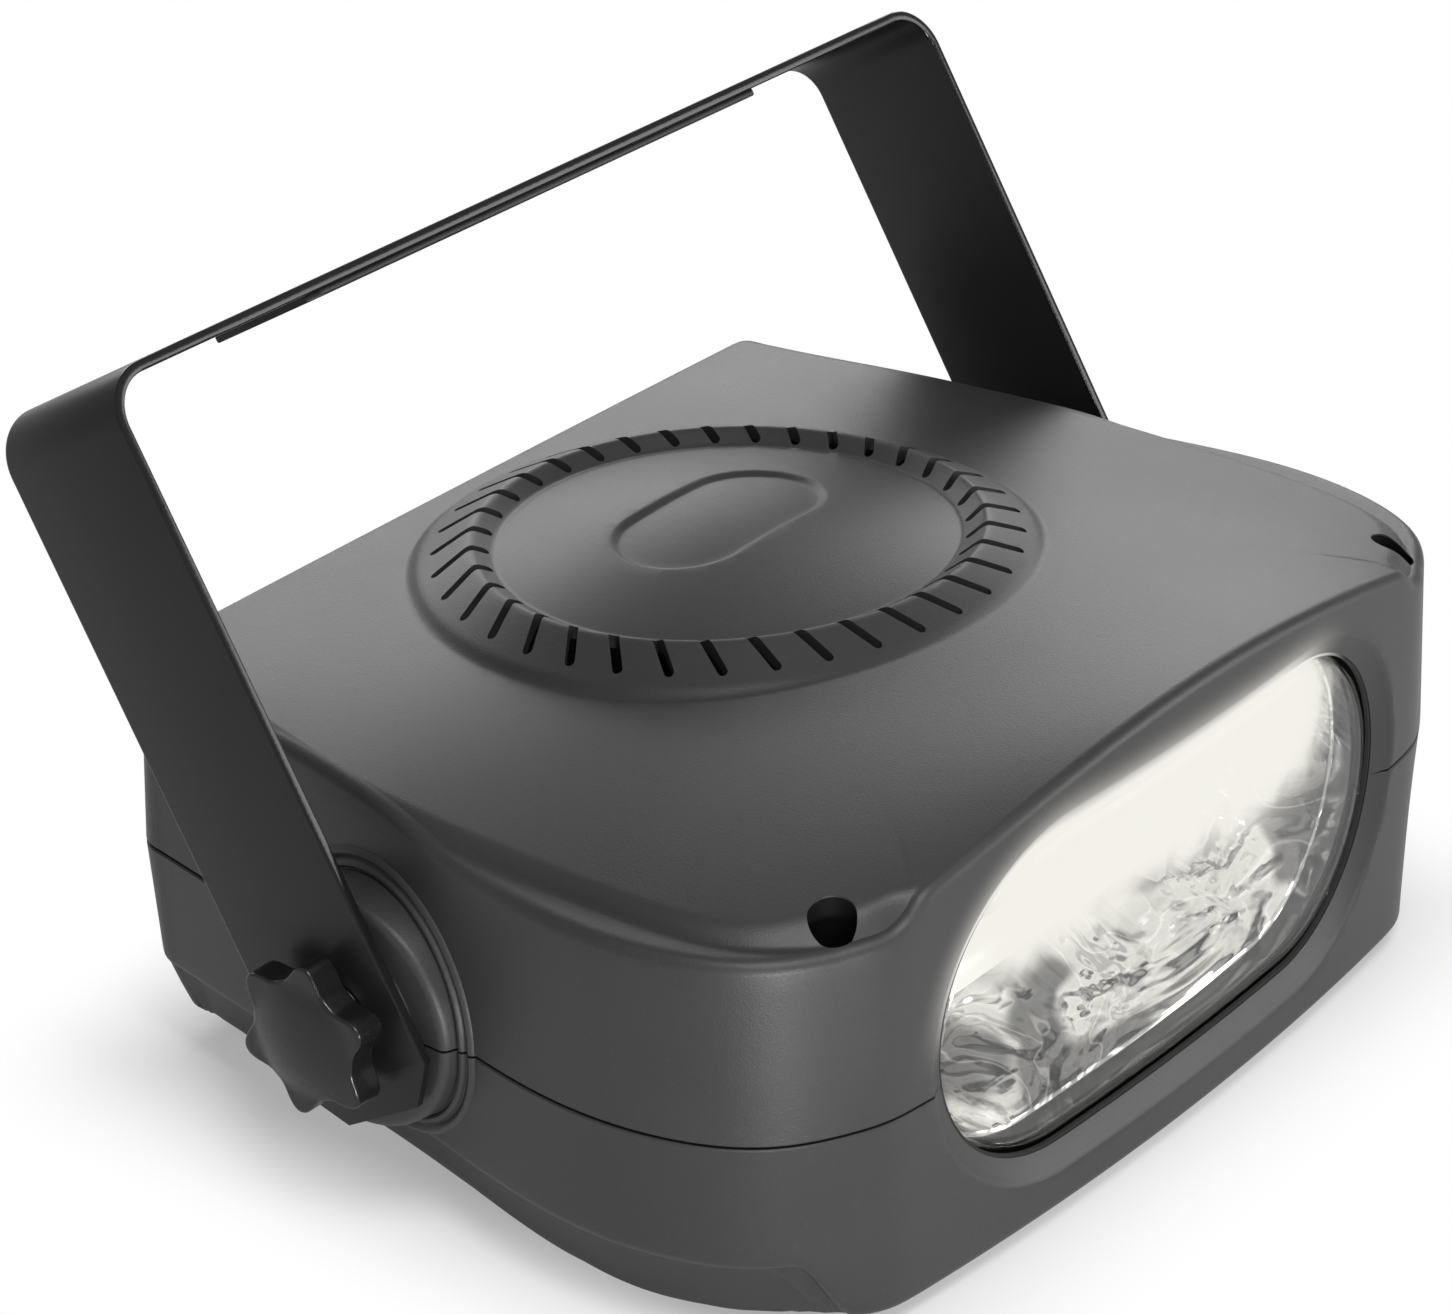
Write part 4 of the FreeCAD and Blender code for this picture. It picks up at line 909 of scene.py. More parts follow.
# ---------------------------------------------------------------------------------------------------
# Housing
# ---------------------------------------------------------------------------------------------------
@dataclass
class HousingForm:
    """Sizes and surfaces of the moulded housing."""

    front_reach: float = 92.35
    rear_reach: float = 78.35
    bow: float = 667.0
    rear_half: float = 90.6
    mid_half: float = 101.0
    belly_half: float = 110.4
    cheek_half: float = 99.9
    front_half: float = 81.5
    belly_back: float = 49.7
    cheek_back: float = 16.2
    corner: float = 8.0
    wall: float = 2.5
    draft: float = math.tan(math.radians(2.0))
    floor: float = 3.0
    split: float = 41.8
    seam: float = 0.5
    front_top: float = 92.3
    rear_top: float = 79.3
    crown_rise: float = 0.00134
    crown_drop: float = 0.0009
    ledge: float = 76.2
    slope: float = math.tan(math.radians(46.0))
    slope_end: float = math.tan(math.radians(20.0))
    slope_front: float = -88.0
    slope_back: float = -76.0
    nose: float = 76.0
    shoulder: tuple[tuple[float, float], ...] = (
        (86.5, 92.0), (88.0, 78.0), (95.6, 40.0), (100.8, 12.0), (101.8, 0.0), (102.3, -12.0), (102.4, -25.0),
        (102.3, -38.0), (101.7, -50.0), (100.0, -61.5), (96.4, -70.5), (91.0, -77.2), (87.4, -80.6),
        (83.7, -83.3), (79.6, -85.4), (76.0, -87.2), (73.0, -91.5), (69.5, -99.0))
    skirt: float = 16.0
    skirt_inset: float = 5.8
    tray_lean: float = 0.3
    slope_foot_round: float = 0.6
    panel_round: float = 1.2
    ring_round: float = 1.0
    floor_round: float = 1.6
    skirt_round: float = 2.0
    ring_y: float = 11.35
    ring_height: float = 86.4
    ring_tilt: float = math.tan(math.radians(3.1))
    ring_crown: float = 0.00045
    dome_foot: float = 42.6
    dome_rise: float = 5.9
    dome_step: float = 1.0
    ridge: tuple[tuple[float, float], ...] = (
        (42.6, 1.0), (43.2, 1.25), (46.3, 3.3), (47.1, 3.55), (48.0, 3.3), (55.0, 0.0), (56.6, -0.75),
        (58.2, -2.2), (60.0, -4.6), (75.0, -45.0))
    ring_softness: float = 0.24
    columns: int = 480

    def __post_init__(self) -> None:
        """Works out the outline as seen from the ring's axis, and the ring's profile."""
        line = self.plan()
        angle = np.arctan2(line[:, 1] - self.ring_y, line[:, 0])
        reach = np.hypot(line[:, 0], line[:, 1] - self.ring_y)
        order = np.argsort(angle)
        turns = np.linspace(-np.pi, np.pi, self.columns, endpoint=False)
        away = np.interp(turns, angle[order], reach[order], period=FULL_TURN)
        # The outline is eased at the front only, where the side walls meet the bowed face.
        share = 1 / (1 + np.exp((np.sin(turns) + 0.35) / 0.05))
        away = away * (1 - share) + eased(away, 6) * share
        self.rays = np.stack([np.cos(turns), np.sin(turns)], 1)
        self.edge = self.rays * away[:, None] + [0.0, self.ring_y]
        self.normals = -beside(np.roll(self.edge, -1, axis=0) - np.roll(self.edge, 1, axis=0))
        # The front face stands upright: there the draft fades out.
        front = (self.edge[:, 1] < -60) & (np.abs(self.edge[:, 0]) < self.front_half + 2)
        self.weight = eased(1.0 - front.astype(float), 10)
        self.profile = self.ring_profile()

    def front_line(self, x: np.ndarray | float, inset: float = 0.0) -> np.ndarray | float:
        """How far back the bowed front face lies at a place across."""
        return -self.front_reach + inset + self.bow - np.sqrt(self.bow ** 2 - np.asarray(x) ** 2)

    def side(self, inset: float = 0.0) -> np.ndarray:
        """Right-hand side in plan, from the rear corner to the front face.

        Args:
            inset: how far the line is moved in.

        Returns:
            Rows of x and y.
        """
        start = self.rear_reach - self.corner
        belly = -self.front_reach + self.belly_back
        cheek = -self.front_reach + self.cheek_back
        swell = self.belly_half - self.mid_half
        turn = self.belly_half - self.cheek_half
        track = [
            (self.rear_half, start),
            ((self.rear_half + self.mid_half) / 2, (start + self.ring_y) / 2),
            (self.mid_half, self.ring_y),
            (self.mid_half + 0.72 * swell, (self.ring_y + belly) / 2 - 4.0),
            (self.belly_half, belly),
            (self.belly_half - 0.26 * turn, (belly + 1.3 * cheek) / 2.3),
            (self.cheek_half, cheek),
            (self.front_half, float(self.front_line(self.front_half))),
        ]
        line = smooth_line(track, 241)
        return line - beside(np.gradient(line, axis=0)) * inset

    def wall_at(self, y: float) -> np.ndarray:
        """How far the side wall stands out at the parting plane at a place along."""
        line = self.side()[::-1]
        return np.interp(y, line[:, 1], line[:, 0])

    def plan(self) -> np.ndarray:
        """Closed outline of the walls at the parting plane.

        Returns:
            Rows of x and y.
        """
        arc = np.linspace(np.pi / 2, 0, 13)[:-1]
        centre = (self.rear_half - self.corner, self.rear_reach - self.corner)
        back = np.stack([np.linspace(0, centre[0], 40)[:-1], np.full(39, self.rear_reach)], 1)
        round_corner = np.stack([centre[0] + self.corner * np.cos(arc), centre[1] + self.corner * np.sin(arc)], 1)
        across = np.linspace(self.front_half, 0, 60)[1:]
        front = np.stack([across, self.front_line(across)], 1)
        right = np.concatenate([back, round_corner, self.side(), front])
        left = right[::-1][1:-1] * [-1, 1]
        return np.concatenate([right, left])

    def inside(self, x: np.ndarray, y: np.ndarray, line: np.ndarray) -> np.ndarray:
        """Distance inside a line along the sides, the same on the left and the right.

        Args:
            x: places across.
            y: places along.
            line: points of the right-hand line in plan, from the rear to the front.

        Returns:
            The distance, negative outside the line.
        """
        start, step = line[:-1], np.diff(line, axis=0)
        spots = np.stack([np.abs(x).ravel(), y.ravel()], 1)
        best = np.full(len(spots), 1e9)
        sign = np.ones(len(spots))
        for a, d in zip(start, step):
            away = spots - a
            t = np.clip(away @ d / (d @ d), 0, 1)
            gap = np.hypot(*(away - t[:, None] * d).T)
            side = d[0] * away[:, 1] - d[1] * away[:, 0]
            closer = gap < best
            best = np.where(closer, gap, best)
            sign = np.where(closer, np.where(side < 0, 1.0, -1.0), sign)
        return (best * sign).reshape(x.shape)

    def shoulder_foot(self) -> np.ndarray:
        """Line where the panel's slope meets the ledge, which widens where the sides swell."""
        return smooth_line(self.shoulder, 90)

    def skirt_foot(self) -> np.ndarray:
        """Line where the ledge of the underside meets the tray, running out at the front."""
        line = self.side(self.skirt_inset)[:205]
        return np.concatenate([[[line[0, 0], self.rear_reach + 12]], line, [[self.nose, -self.front_reach - 8]]])

    def steepness(self, y: np.ndarray) -> np.ndarray:
        """Run over rise of the panel's slope, which stands up towards the front face."""
        return np.interp(y, [self.slope_front, self.slope_back], [self.slope_end, self.slope])

    def crown(self, x: np.ndarray, y: np.ndarray) -> np.ndarray:
        """Height of the crowned top.

        Args:
            x: places across.
            y: places along.

        Returns:
            The heights.
        """
        forward = np.clip((self.rear_reach - y) / (self.rear_reach + self.front_reach), 0.0, 1.2)
        fall = self.crown_rise * forward ** 0.9 + self.crown_drop * forward ** 12
        return self.rear_top + (self.front_top - self.rear_top) * forward - fall * x ** 2

    def ring_profile(self) -> tuple[np.ndarray, np.ndarray]:
        """Softened section of the dome and the ridge round it.

        Returns:
            Distances from the middle, and heights over the ring's plane.
        """
        step, window = 0.05, 30
        spots = np.arange(0, self.ridge[-1][0], step)
        rise = self.dome_rise - self.dome_step
        bow = (self.dome_foot ** 2 + rise ** 2) / (2 * rise)
        dome = self.dome_rise - bow + np.sqrt(bow ** 2 - np.minimum(spots, self.dome_foot) ** 2)
        profile = np.where(spots < self.dome_foot, dome, np.interp(spots, *zip(*self.ridge)))
        kernel = np.exp(-0.5 * (np.arange(-window, window + 1) * step / self.ring_softness) ** 2)
        return spots, np.convolve(np.pad(profile, window, mode="edge"), kernel / kernel.sum(), mode="valid")

    def ring(self, x: np.ndarray, y: np.ndarray) -> np.ndarray:
        """Height of the ventilator ring and its dome."""
        profile = np.interp(np.hypot(x, y - self.ring_y), *self.profile)
        return self.ring_height - (y - self.ring_y) * self.ring_tilt - self.ring_crown * x ** 2 + profile

    def top(self, x: np.ndarray, y: np.ndarray) -> np.ndarray:
        """Height of the whole top.

        Args:
            x: places across.
            y: places along.

        Returns:
            The heights.
        """
        foot = self.inside(x, y, self.shoulder_foot())
        slope = self.ledge + soft_max(foot / self.steepness(y), np.zeros_like(foot), self.slope_foot_round)
        panel = soft_min(self.crown(x, y), slope, self.panel_round)
        return soft_max(panel, self.ring(x, y), self.ring_round)

    def base(self, x: np.ndarray, y: np.ndarray) -> np.ndarray:
        """Height of the underside, with the ledge along the sides.

        Args:
            x: places across.
            y: places along.

        Returns:
            The heights.
        """
        foot = self.inside(x, y, self.skirt_foot())
        tray = soft_max(self.skirt - foot / self.tray_lean, np.full_like(foot, self.floor), self.floor_round)
        return soft_min(np.full_like(foot, self.skirt), tray, self.skirt_round)


@dataclass
class Shell:
    """One half of the housing: a skin grown outwards from the ring's axis, over the edge and along the wall."""

    form: HousingForm
    upper: bool
    core: Sequence[float]
    inner_core: Sequence[float]
    rows: int
    inner_rows: int = 14
    edge_round: float = 2.4
    lip: float = 0.3

    def height(self, x: np.ndarray, y: np.ndarray) -> np.ndarray:
        """The half's outer skin."""
        return self.form.top(x, y) if self.upper else self.form.base(x, y)

    def wall_inset(self, z: np.ndarray) -> np.ndarray:
        """How far the drafted wall has moved in at a height."""
        form = self.form
        return (z - form.split) * form.draft if self.upper else (form.split - z) * 2 * form.draft

    def skin(self, thick: float, rows: int, core: Sequence[float], wall_rows: int, bend_rows: int,
             lip: float) -> list[np.ndarray]:
        """Rows of points from the axis to the parting plane.

        Args:
            thick: depth below the outer skin.
            rows: rows between the ring and the edge.
            core: radii of the rows round the axis.
            wall_rows: rows down the wall.
            bend_rows: rows round the edge.
            lip: size of the broken edge at the parting plane.

        Returns:
            The rows, the first being the single point on the axis repeated.
        """
        form = self.form
        sign = 1.0 if self.upper else -1.0
        centre = np.array([0.0, form.ring_y])
        result = []
        for radius in core:
            spot = centre + form.rays * radius
            z = self.height(spot[:, 0], spot[:, 1]) - sign * thick
            result.append(np.column_stack([spot, z]))
        bend = self.edge_round
        weight = form.weight[:, None]

        def moved(inset: np.ndarray | float, extra: float) -> np.ndarray:
            """Edge points moved in by a drafted inset and a fixed distance."""
            drafted = np.broadcast_to(np.asarray(inset, float), (form.columns,))[:, None]
            return form.edge - form.normals * (drafted * weight + extra)

        z_edge = np.full(form.columns, form.ledge if self.upper else form.skirt)
        for _ in range(3):
            spot = moved(self.wall_inset(z_edge), bend + thick)
            z_edge = self.height(spot[:, 0], spot[:, 1]) - sign * thick
        start = centre + form.rays * core[-1]
        end = moved(self.wall_inset(z_edge), bend + thick)
        fine = np.linspace(0, 1, 161)
        grid = start[None] + (end - start)[None] * fine[:, None, None]
        x, y = grid[..., 0], grid[..., 1]
        if self.upper:
            foot = form.inside(x, y, form.shoulder_foot())
            over = form.crown(x, y) - (form.ledge + foot / form.steepness(y))
            # Rows crowd at the slope's foot and top, and at both ends.
            density = 0.25 + 2.6 * np.exp(-(foot / 1.5) ** 2) + 2.2 * np.exp(-(over / 1.8) ** 2)
            density += 1.2 * np.exp(-((1 - fine[:, None]) * 30) ** 2) + 0.8 * np.exp(-(fine[:, None] * 20) ** 2)
        else:
            foot = form.inside(x, y, form.skirt_foot())
            # Rows crowd at the tray's wall.
            density = 0.2 + 2.0 * np.exp(-((foot - 2.0) / 3.0) ** 2)
        total = np.concatenate([np.zeros((1, form.columns)), np.cumsum((density[1:] + density[:-1]) / 2, axis=0)])
        total /= total[-1]
        for level in np.linspace(0, 1, rows + 1)[1:]:
            t = np.array([np.interp(level, total[:, i], fine) for i in range(form.columns)])
            spot = start + (end - start) * t[:, None]
            z = self.height(spot[:, 0], spot[:, 1]) - sign * thick
            result.append(np.column_stack([spot, z]))
        for turn in np.linspace(np.pi / 2, 0, bend_rows + 1)[1:]:
            drop = bend * (1 - math.sin(turn))
            z = z_edge - sign * drop
            result.append(np.column_stack([moved(self.wall_inset(z), bend * (1 - math.cos(turn)) + thick), z]))
        low = form.split + (0.0 if thick else sign * form.seam / 2)
        z_start = z_edge - sign * bend
        for level in np.linspace(0, 1, wall_rows + 1)[1:]:
            z = z_start + (low + sign * lip - z_start) * level
            result.append(np.column_stack([moved(self.wall_inset(z), thick), z]))
        if lip:
            z = np.full(form.columns, low)
            result.append(np.column_stack([moved(self.wall_inset(z), thick + lip), z]))
        return result

    def build(self, name: str, material: bpy.types.Material) -> bpy.types.Object:
        """Makes the closed shell.

        Args:
            name: the object's name.
            material: its finish.

        Returns:
            The shell.
        """
        outer = self.skin(0.0, self.rows, self.core, 9, 7, self.lip)
        inner = self.skin(self.form.wall, self.inner_rows, self.inner_core, 3, 2, 0.0)
        return skinned(name, outer + inner[::-1], material, crease=32.0)


def lathe_half(name: str, profile: Sequence[tuple[float, ...]], side: int, upper: bool, form: HousingForm,
               pivot_y: float, material: bpy.types.Material, count: int = 72) -> bpy.types.Object:
    """Half of a turned boss on the pivot's axis, closed along the parting plane.

    Args:
        name: the object's name.
        profile: radius and distance from the middle, from the wall to the axis; a third value
            measures the distance from the wall instead.
        side: +1 for the right, -1 for the left.
        upper: which half.
        form: the housing.
        pivot_y: the pivot's place along Y.
        material: the finish.
        count: segments round the half turn.

    Returns:
        The boss.
    """
    sign = 1.0 if upper else -1.0
    gap = form.seam / 2
    rows = []
    for turn in np.linspace(0, np.pi, count + 1):
        row = []
        for r, x, *follow in profile:
            y, rise = pivot_y + r * math.cos(turn), max(r * math.sin(turn), gap)
            base = float(form.wall_at(y)) - rise * form.draft * (1 if upper else 2) if follow else 0.0
            row.append((side * (x + base), y, form.split + sign * rise))
        rows.append(np.array(row))
    size = len(profile)
    last = count * size
    faces = bridge(rows, closed=False)
    faces.append(tuple(range(size)) + tuple(reversed(range(last, last + size))))
    return tidy(new_object(name, np.concatenate(rows), faces, material), crease=32.0)


@dataclass
class Housing:
    """Both shells with their bosses, wells, slots, window and holes."""

    form: HousingForm
    finishes: Finishes
    arrays: RingArray
    pivot_y: float = 6.45
    slots: int = 36
    slot_first: float = 5.0
    slot_inner: float = 42.7
    slot_outer: float = 55.0
    slot_width: float = 1.8
    slot_cut: float = 9.0
    oval_half: float = 23.0
    oval_end: float = 13.0
    oval_depth: float = 0.9
    oval_forward: float = 2.0
    window_middle: float = 46.8
    window_half: float = 66.0
    window_end: float = 30.5
    well_place: tuple[float, float] = (85.0, -78.0)
    well_radius: float = 4.1
    well_floor: float = 57.0
    well_top: float = 100.0
    rear_well_place: tuple[float, float] = (76.0, 62.35)
    rear_well_radius: float = 3.75
    rear_well_depth: float = 27.5
    fitting_holes: tuple[tuple[float, float], ...] = ((-48.0, 3.9), (12.0, 6.15), (56.0, 6.15))
    fitting_height: float = 23.0
    rear_wall: tuple[float, float] = (70.0, 84.0)
    boss: tuple[tuple[float, ...], ...] = (
        (27.2, -1.4, 1), (26.6, -0.4, 1), (26.2, 0.25, 1), (25.8, 0.6, 1), (25.4, 0.75, 1), (25.0, 0.6, 1),
        (24.7, 0.25, 1), (24.45, 0.1, 1), (24.2, 0.25, 1), (23.95, 0.75, 1), (23.6, 1.05, 1), (23.2, 1.1, 1),
        (22.85, 0.9, 1), (22.6, 0.5, 1), (22.4, 0.6, 1), (22.0, 108.7), (21.8, 109.2), (21.5, 109.6),
        (21.1, 109.9), (20.7, 110.05), (20.2, 110.1), (4.0, 110.1), (3.4, 110.1), (3.4, 97.0))

    def slot_tool(self) -> bpy.types.Object:
        """Cutters of the vent slots, stood round the ring by the array.

        Returns:
            The cutters as one object.
        """
        half = self.slot_width / 2
        start, end = self.slot_inner + half, self.slot_outer - half
        turn = np.linspace(-np.pi / 2, np.pi / 2, 9)
        far = np.stack([end + half * np.cos(turn), half * np.sin(turn)], 1)
        near = np.stack([start - half * np.cos(turn), -half * np.sin(turn)], 1)
        ring = np.concatenate([far, near])
        rows = [np.column_stack([ring, np.full(len(ring), z)]) for z in (-self.slot_cut, self.slot_cut)]
        middle = (start + end) / 2
        copy = new_object("slot", np.concatenate(rows) - [middle, 0, 0], bridge(rows, capped=True), None)
        tilt = -math.degrees(math.atan(self.form.ring_tilt))
        return self.arrays.bake("slots", copy, self.slots, middle, self.slot_first,
                                (0, self.form.ring_y, self.form.ring_height), (tilt, 0, 0), None)

    def oval_tool(self) -> bpy.types.Object:
        """Cutter of the shallow oval recess on the dome, with sloping sides.

        Returns:
            The cutter.
        """
        form = self.form
        middle = form.ring_y + self.oval_forward
        rows = []
        stations = [(-1.2, 0.3), (-0.9, 0.01), (-0.55, -0.05), (-0.2, -0.15), (0.15, -0.32), (0.5, -0.55),
                    (0.85, -0.75), (1.2, -0.86), (1.5, -self.oval_depth)]
        stations += [(shift, -self.oval_depth) for shift in np.linspace(3.0, self.oval_end, 8)]
        for shift, lift in stations:
            line = stadium(self.oval_half - shift, max(self.oval_end - shift, 0.0), middle)
            rows.append(np.column_stack([line, form.top(line[:, 0], line[:, 1]) + lift]))
        roof = rows[0] + [0.0, 0.0, 4.0]
        top = np.tile([0.0, middle, roof[:, 2].max()], (len(roof), 1))
        return skinned("oval", [top, roof] + rows, None)

    def window_tool(self) -> bpy.types.Object:
        """Cutter of the window, flaring out to a softly rounded bezel.

        Returns:
            The cutter.
        """
        profile = [(7.5, -6.0), (6.3, -0.35), (5.4, 0.02), (4.9, 0.25), (4.4, 0.6), (3.9, 1.0), (0.9, 2.5),
                   (0.4, 2.85), (0.1, 3.4), (0.0, 4.2), (-0.2, 14.0)]
        rows = []
        for grow, depth in profile:
            ring = stadium(self.window_half + grow, self.window_end + grow, self.window_middle, 120)
            rows.append(np.column_stack([ring[:, 0], self.form.front_line(ring[:, 0]) + depth, ring[:, 1]]))
        return skinned("window", rows, None, capped=True)

    def drill(self, centre: Sequence[float], axis: int, radius: float, reach: Sequence[float]) -> bpy.types.Object:
        """Round cutter.

        Args:
            centre: a point on its axis.
            axis: 1 for Y, 2 for Z.
            radius: its radius.
            reach: where it starts and ends along the axis.

        Returns:
            The cutter.
        """
        return skinned("drill", circle_rows([(radius, along) for along in reach], axis, centre, 40), None, capped=True)

    def bosses(self, upper: bool, material: bpy.types.Material) -> list[bpy.types.Object]:
        """Stepped bosses of both sides."""
        return [lathe_half(f"boss_{side}", self.boss, side, upper, self.form, self.pivot_y, material)
                for side in (-1, 1)]

    def wells(self, material: bpy.types.Material) -> list[bpy.types.Object]:
        """Cups of the front screw wells, below the panel.

        Args:
            material: their finish.

        Returns:
            The left and the right cup.
        """
        inner, outer, low = self.well_radius - 0.12, self.well_radius + 0.9, self.well_floor
        profile = [(0.0, low), (inner - 0.4, low), (inner, low + 0.4), (inner, None), (inner + 0.3, None),
                   (outer, self.form.ledge - 1.0), (outer, low - 1.0), (0.0, low - 1.0)]
        turn = np.linspace(0, FULL_TURN, 48, endpoint=False)
        x, y = self.well_place
        made = []
        for side in (-1, 1):
            rows = []
            for r, z in profile:
                spot = np.column_stack([side * x + r * np.cos(turn), y + r * np.sin(turn)])
                level = self.form.top(*spot.T) - 0.3 if z is None else np.full(len(turn), z)
                rows.append(np.column_stack([spot, level]))
            made.append(skinned(f"well_{side}", rows, material))
        return made

    def upper_half(self) -> None:
        """Makes the upper moulding."""
        material = self.finishes["charcoal_moulding"]
        core = [0.0, 2.5, 5, 8, 11, 14, 17, 20, 23, 26, 29, 32, 35, 37.5, 39.5, 40.8]
        core += list(np.arange(41.6, 48.6, 0.28)) + [49.5, 51, 52.5, 54, 55, 55.7, 56.4, 57.0]
        core += list(np.arange(57.6, 62.6, 0.4))
        inner_core = (0.0, 14.0, 26.0, 38.0, 41.0, 43.5, 46.0, 50.0, 55.0, 58.0, 61.0)
        upper = Shell(self.form, True, core, inner_core, 42).build("upper_moulding", material)
        tools = [self.slot_tool(), self.oval_tool(), self.window_tool()]
        x, y = self.well_place
        for side in (-1, 1):
            tools.append(self.drill((side * x, y, 0), 2, self.well_radius, (self.well_floor, self.well_top)))
        cut(upper, joined("upper_tools", tools))
        tidy(upper, crease=30.0, merge=0.0005)
        # The cups take a near-black finish as painted shade inside the wells.
        wells = self.wells(self.finishes["deep_well"])
        upper = joined("upper_moulding", [upper, *self.bosses(True, material), *wells])
        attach(upper, "housing")
        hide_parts("upper_shell")
        LOG.info("upper_moulding: %d faces", len(upper.data.polygons))

    def lower_half(self) -> None:
        """Makes the lower moulding."""
        material = self.finishes["charcoal_moulding"]
        shell = Shell(self.form, False, (0.0, 20.0, 40.0, 60.0), (0.0, 30.0, 55.0), 18)
        lower = shell.build("lower_moulding", material)
        tools = [self.window_tool()]
        x, y = self.rear_well_place
        for side in (-1, 1):
            tools.append(self.drill((side * x, y, 0), 2, self.rear_well_radius, (0.0, self.rear_well_depth)))
        for place, radius in self.fitting_holes:
            tools.append(self.drill((place, 0, self.fitting_height), 1, radius, self.rear_wall))
        cut(lower, joined("lower_tools", tools))
        tidy(lower, crease=30.0, merge=0.0005)
        lower = joined("lower_moulding", [lower, *self.bosses(False, material)])
        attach(lower, "housing")
        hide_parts("lower_shell")
        LOG.info("lower_moulding: %d faces", len(lower.data.polygons))

    def build(self) -> None:
        """Makes both shells."""
        self.upper_half()
        self.lower_half()


# ---------------------------------------------------------------------------------------------------
# Lamp
# ---------------------------------------------------------------------------------------------------
@dataclass
class Lamp:
    """Window lens, crinkled reflector and lit flash tube."""

    form: HousingForm
    finishes: Finishes
    half: float = 69.3
    end: float = 33.8
    middle: float = 46.8
    lens_depth: float = 3.75
    lens_thick: float = 1.6
    bulge: float = 2.4
    shoulder: float = 10.2
    flange: float = 3.9
    sunk: float = 0.5
    reflector_depth: float = 38.0
    rim: float = 10.5
    tube_y: float = -62.35
    tube_radius: float = 4.0
    tube_spread: float = 9.0
    tube_left: float = -69.0
    tube_bend: float = 38.0
    sheet: float = 0.6
    lens_steps: tuple[float, ...] = (
        0, 2, 3.4, 3.88, 3.92, 4.02, 4.2, 4.5, 4.9, 5.4, 6, 6.8, 7.8, 9, 10.4, 12, 13.5, 14.6, 16, 19, 24, 29, 33.8)
    waves: tuple[int, ...] = (6, 11, 17, 26, 37, 49)

    def lens(self) -> None:
        """Makes the pillow-shaped window."""
        front, back = [], []
        for offset in self.lens_steps:
            ring = stadium(self.half - offset, max(self.end - offset, 0.0), self.middle, 120)
            share = min(max(offset - self.flange, 0.0) / self.shoulder, 1.0)
            lift = self.bulge * (1 - (1 - share) ** 2.6) ** 0.5 - (self.sunk if offset < self.flange else 0.0)
            y = self.form.front_line(ring[:, 0]) + self.lens_depth - lift
            front.append(np.column_stack([ring[:, 0], y, ring[:, 1]]))
            back.append(np.column_stack([ring[:, 0], y + self.lens_thick, ring[:, 1]]))
        made = skinned("lens", front[::-1] + back, self.finishes["clear_window"], crease=50.0)
        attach(made, "housing")
        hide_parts("front_lens")
        LOG.info("lens: %d faces", len(made.data.polygons))

    def reflector(self) -> None:
        """Makes the reflector with a folded, rippled wall."""
        form = self.form
        phases = np.random.default_rng(7).uniform(0, FULL_TURN, (9, 3))
        place = np.linspace(0, FULL_TURN, 200, endpoint=False)
        rows = []
        for offset, depth in ((3.4, 6.0), (3.4, self.rim - 0.6), (3.55, self.rim - 0.3), (4.1, self.rim - 0.1)):
            ring = stadium(self.half - offset, self.end - offset, self.middle, len(place))
            rows.append(np.column_stack([ring[:, 0], form.front_line(ring[:, 0]) + depth, ring[:, 1]]))
        for share in np.linspace(0, 1, 26):
            tuck = 4.3 + 2.1 * share + 12.0 * share ** 2.2
            ring = stadium(self.half - tuck, self.end - tuck, self.middle, len(place))
            around = np.linspace(0, FULL_TURN, len(ring), endpoint=False)
            ripple = sum(np.sin(around * n + phases[i, 0] + share * (3 + i)) / (2 + i * 0.4)
                         for i, n in enumerate(self.waves))
            ripple = ripple * 0.75 * math.sin(math.pi * min(share * 1.6 + 0.05, 1.0) / 2)
            out = ring - [0, self.middle]
            out /= np.linalg.norm(out, axis=1)[:, None]
            spot = ring - out * np.abs(ripple)[:, None]
            y = form.front_line(ring[:, 0]) * (1 - share) + (-form.front_reach + 4.0) * share
            y = y + self.rim + share * (self.reflector_depth + 3.0 - self.rim)
            rows.append(np.column_stack([spot[:, 0], y, spot[:, 1]]))
        last, back = rows[-1], rows[-1].mean(axis=0)
        for shrink in (0.75, 0.5, 0.25, 0.0):
            rows.append(back + (last - back) * [shrink, 1, shrink])
        made = skinned("reflector_trough", rows, self.finishes["crinkled_bright_metal"], crease=60.0)
        thick = made.modifiers.new("sheet", "SOLIDIFY")
        thick.thickness = self.sheet * MM
        thick.offset = 1.0
        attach(made, "housing")
        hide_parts("reflector")
        LOG.info("reflector_trough: %d faces", len(made.data.polygons))

    def tube(self) -> None:
        """Makes the bent tube with its closed ends."""
        run = np.linspace(self.tube_left, self.tube_bend, 24)[:-1]
        path = [(x, self.middle + self.tube_spread) for x in run]
        path += [(self.tube_bend + self.tube_spread * math.cos(a), self.middle + self.tube_spread * math.sin(a))
                 for a in np.linspace(np.pi / 2, -np.pi / 2, 25)]
        path += [(x, self.middle - self.tube_spread) for x in reversed(run)]
        line = np.array(path)
        around = np.linspace(0, FULL_TURN, 24, endpoint=False)
        rows = []
        for i, (spot, out) in enumerate(zip(line, beside(np.gradient(line, axis=0)))):
            radius = self.tube_radius if 0 < i < len(line) - 1 else self.tube_radius * 0.6
            rows.append(np.array([(spot[0] + out[0] * radius * math.cos(a), self.tube_y + radius * math.sin(a),
                                   spot[1] + out[1] * radius * math.cos(a)) for a in around]))
        made = skinned("lit_tube", rows, self.finishes["lit_xenon_tube"], crease=50.0, capped=True)
        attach(made, "housing")
        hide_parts("flash_tube")
        LOG.info("lit_tube: %d faces", len(made.data.polygons))

    def build(self) -> None:
        """Makes the lamp."""
        self.lens()
        self.reflector()
        self.tube()


